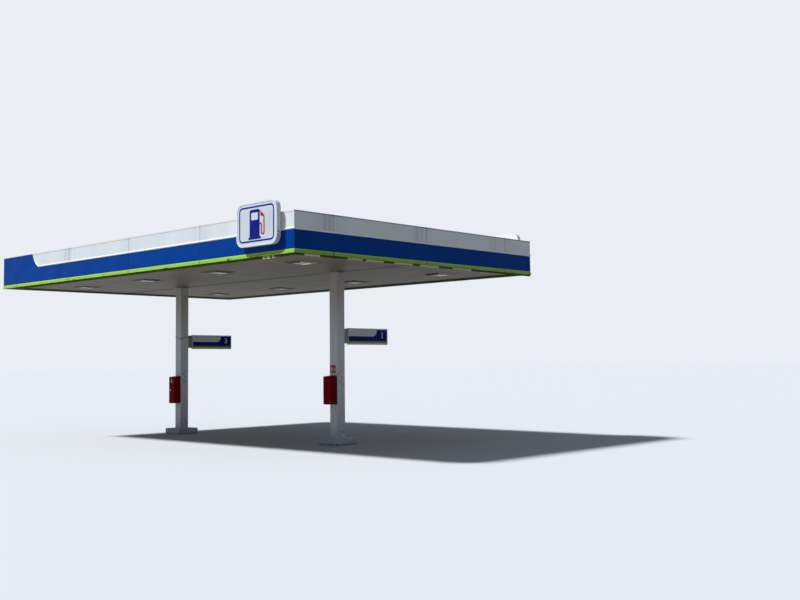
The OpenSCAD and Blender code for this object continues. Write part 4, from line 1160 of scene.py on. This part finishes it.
class CANOPY_OT_cabinets(bpy.types.Operator):
    """Finish the cabinets and the plate, and add seals, catches, labels and figures."""

    bl_idname = "canopy.cabinets"
    bl_label = "Finish Cabinets"

    def execute(self, context):
        c, s = settings(context)
        red, rubber = moulded_red(c), dark_rubber("door_seal_rubber", "#1D1D1E")
        dress(red, "cabinet_left", "cabinet_right", "cabinet_door_left", "cabinet_door_right")
        dress(vitreous_enamel(c), "pictogram_plate")
        white = sign_film("cut_vinyl_white", c.print_white, "#B9BEC6")
        print_red = sign_film("label_film_red", c.print_red)
        metal = bright_screws("turned_catch_metal", "#AEB2B6", 0.4)
        for name, column, catch_z, slot, coat in (
                ("left", -COLUMN_X, 1.276, "galvanised_steel", metal),
                ("right", COLUMN_X, 1.34, "red_plastic", red)):
            low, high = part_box("cabinet_" + name)
            left, body = column + COLUMN_HALF - CABINET_W, name + "_door"
            seal, catch = bmesh.new(), bmesh.new()
            place = on_face((left + CABINET_W / 2, DOOR_GAP_Y, (low.z + high.z) / 2 - 0.009), X, -Y)
            border(seal, (CABINET_W / 2 - 0.003, (high.z - low.z) / 2 - 0.013), 0.003, 0.006, 0.008, place)
            add_piece(seal, "cabinet_seal_" + name, rubber)
            # Places on the door are measured from its left edge and from the ground
            front = on_face((left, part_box("cabinet_door_" + name)[0].y + 0.008, 0), X, -Y)
            place = front @ Matrix.Translation((0.085, catch_z, 0))
            disc(catch, 0.0275, 0, CATCH_T, place, segments=40, taper=0.97)
            plate(catch, (-0.019, -0.0045), (0.019, 0.0045), CATCH_T, 0.015, 0.004,
                  place @ Matrix.Rotation(math.radians(20), 4, "Z"), segments=4)
            add_piece(catch, "cabinet_catch_" + name, coat, body=body)
            if name == "left":
                half, labels, figures = s.label_side / 2, bmesh.new(), bmesh.new()
                for z, figure, shift in ((1.566, extinguisher_figure, 0.006), (1.514, flame_figure, -0.01)):
                    place = front @ Matrix.Translation((0.1325, z, 0))
                    plate(labels, (-half, -half), (half, half), 0, LABEL_T, 0.004, place, segments=4)
                    figure(figures, place @ Matrix.Translation((shift, 0, LABEL_T)), s.label_side * 0.85,
                           0.4 * MM)
                add_piece(labels, "cabinet_labels", white, body=body)
                add_piece(figures, "cabinet_label_figures", print_red, body=body)
            else:
                plug, tag = bmesh.new(), bmesh.new()
                disc(plug, 0.016, 0, 0.004, front @ Matrix.Translation((0.13, 1.6, 0)))
                add_piece(plug, "cabinet_plug", rubber, body=body)
                plate(tag, (0.238, 1.038), (0.262, 1.052), 0, FILM, 0.002, front, segments=3)
                add_piece(tag, "cabinet_tag", white, body=body)
        # The plate over the right cabinet
        figures = bmesh.new()
        middle = (PLATE_LOW + PLATE_HIGH) / 2
        place = on_face((middle.x, PLATE_LOW.y, middle.z), X, -Y)
        extinguisher_figure(figures, place, 0.16, FILM)
        flame_figure(figures, place @ Matrix.Translation((0.03, -0.01, 0)), 0.12, FILM)
        add_piece(figures, "plate_figures", white)
        return {"FINISHED"}


class CANOPY_OT_stage(bpy.types.Operator):
    """Add the floor, the soft light, the pale background and the camera."""

    bl_idname = "canopy.stage"
    bl_label = "Add Stage"

    def execute(self, context):
        scene = context.scene
        scene.view_settings.view_transform = "Standard"
        grid = bmesh.new()
        bmesh.ops.create_grid(grid, x_segments=8, y_segments=8, size=400)
        mesh = bpy.data.meshes.new("studio_floor")
        grid.to_mesh(mesh)
        grid.free()
        mesh.materials.append(self.floor_material())
        floor = bpy.data.objects.new("studio_floor", mesh)
        scene.collection.objects.link(floor)
        self.set_world(scene)
        self.set_key(scene)
        self.set_camera(scene)
        return {"FINISHED"}

    def floor_material(self):
        """Matt studio floor: pale to the camera, darker to the light it throws up at the soffit."""
        material, tree, _ = start("studio_floor_paint")
        watched = seen(tree, "Is Camera Ray", "Is Glossy Ray")
        return surface(material, "#868687", [(watched, "#CACDD2")], 1.0, Specular_IOR_Level=0.1)

    def set_world(self, scene):
        """Even daylight, with a plain pale background where the camera sees it."""
        world = bpy.data.worlds.new("studio_world")
        world.use_nodes = True
        tree = world.node_tree
        tree.nodes.clear()
        watched = seen(tree, "Is Camera Ray", "Is Glossy Ray", "Is Transmission Ray")
        light = add(tree, "Background", ["#E2ECFB", 0.2])
        backdrop = add(tree, "Background", ["#EAEEF4", 1.0])
        add(tree, "OutputWorld", [add(tree, "MixShader", [watched, light, backdrop])])
        scene.world = world

    def set_key(self, scene):
        """Sun from the left and the front, as soft as a large studio lamp."""
        turn, tilt = math.radians(-136), math.radians(53)
        toward = Vector((math.cos(tilt) * math.cos(turn), math.cos(tilt) * math.sin(turn), math.sin(tilt)))
        lamp = bpy.data.lights.new("studio_key", "SUN")
        lamp.energy = 4.7
        lamp.angle = math.radians(6)
        light = bpy.data.objects.new("studio_key", lamp)
        light.rotation_euler = toward.to_track_quat("Z", "Y").to_euler()
        scene.collection.objects.link(light)

    def set_camera(self, scene):
        """Camera at the viewing angle of the photograph, for an image 800 by 600."""
        yaw, pitch, roll = 0.75577, 0.06241, -0.01006
        ahead = Vector((-math.sin(yaw) * math.cos(pitch), math.cos(yaw) * math.cos(pitch), math.sin(pitch)))
        level = Vector((math.cos(yaw), math.sin(yaw), 0))
        above = level.cross(ahead)
        right = math.cos(roll) * level + math.sin(roll) * above
        up = math.cos(roll) * above - math.sin(roll) * level
        data = bpy.data.cameras.new("photo_camera")
        data.sensor_width = 36
        data.lens = 45.268
        data.clip_end = 2000
        camera = bpy.data.objects.new("photo_camera", data)
        turn = Matrix((right, up, -ahead)).transposed().to_4x4()
        camera.matrix_world = Matrix.Translation((21.688, -17.171, 2.002)) @ turn
        scene.collection.objects.link(camera)
        scene.camera = camera


STEPS = (CANOPY_OT_fascia, CANOPY_OT_coping, CANOPY_OT_roof, CANOPY_OT_soffit, CANOPY_OT_signs,
         CANOPY_OT_flags, CANOPY_OT_columns, CANOPY_OT_cabinets, CANOPY_OT_stage)


class CANOPY_PT_panel(bpy.types.Panel):
    """Lists the steps that finish the canopy, with the sizes and colours they use."""

    bl_idname = "CANOPY_PT_panel"
    bl_label = "Canopy"
    bl_space_type = "VIEW_3D"
    bl_region_type = "UI"
    bl_category = "Canopy"

    def draw(self, context):
        for step in STEPS:
            self.layout.operator(step.bl_idname)
        for group in settings(context):
            box = self.layout.box()
            for name in group.bl_rna.properties.keys():
                if name not in ("rna_type", "name"):
                    box.prop(group, name)


CLASSES = (CanopyColours, CanopySizes) + STEPS + (CANOPY_PT_panel,)


def register():
    """Registers the classes and the settings on the scene."""
    for item in CLASSES:
        bpy.utils.register_class(item)
    bpy.types.Scene.canopy_colours = PointerProperty(type=CanopyColours)
    bpy.types.Scene.canopy_sizes = PointerProperty(type=CanopySizes)


def unregister():
    """Takes the settings and the classes away again."""
    del bpy.types.Scene.canopy_sizes
    del bpy.types.Scene.canopy_colours
    for item in reversed(CLASSES):
        bpy.utils.unregister_class(item)


def main():
    """Makes every piece in order."""
    register()
    bpy.ops.canopy.fascia()
    bpy.ops.canopy.coping()
    bpy.ops.canopy.roof()
    bpy.ops.canopy.soffit()
    bpy.ops.canopy.signs()
    bpy.ops.canopy.flags()
    bpy.ops.canopy.columns()
    bpy.ops.canopy.cabinets()
    bpy.ops.canopy.stage()


if __name__ == "__main__":
    main()
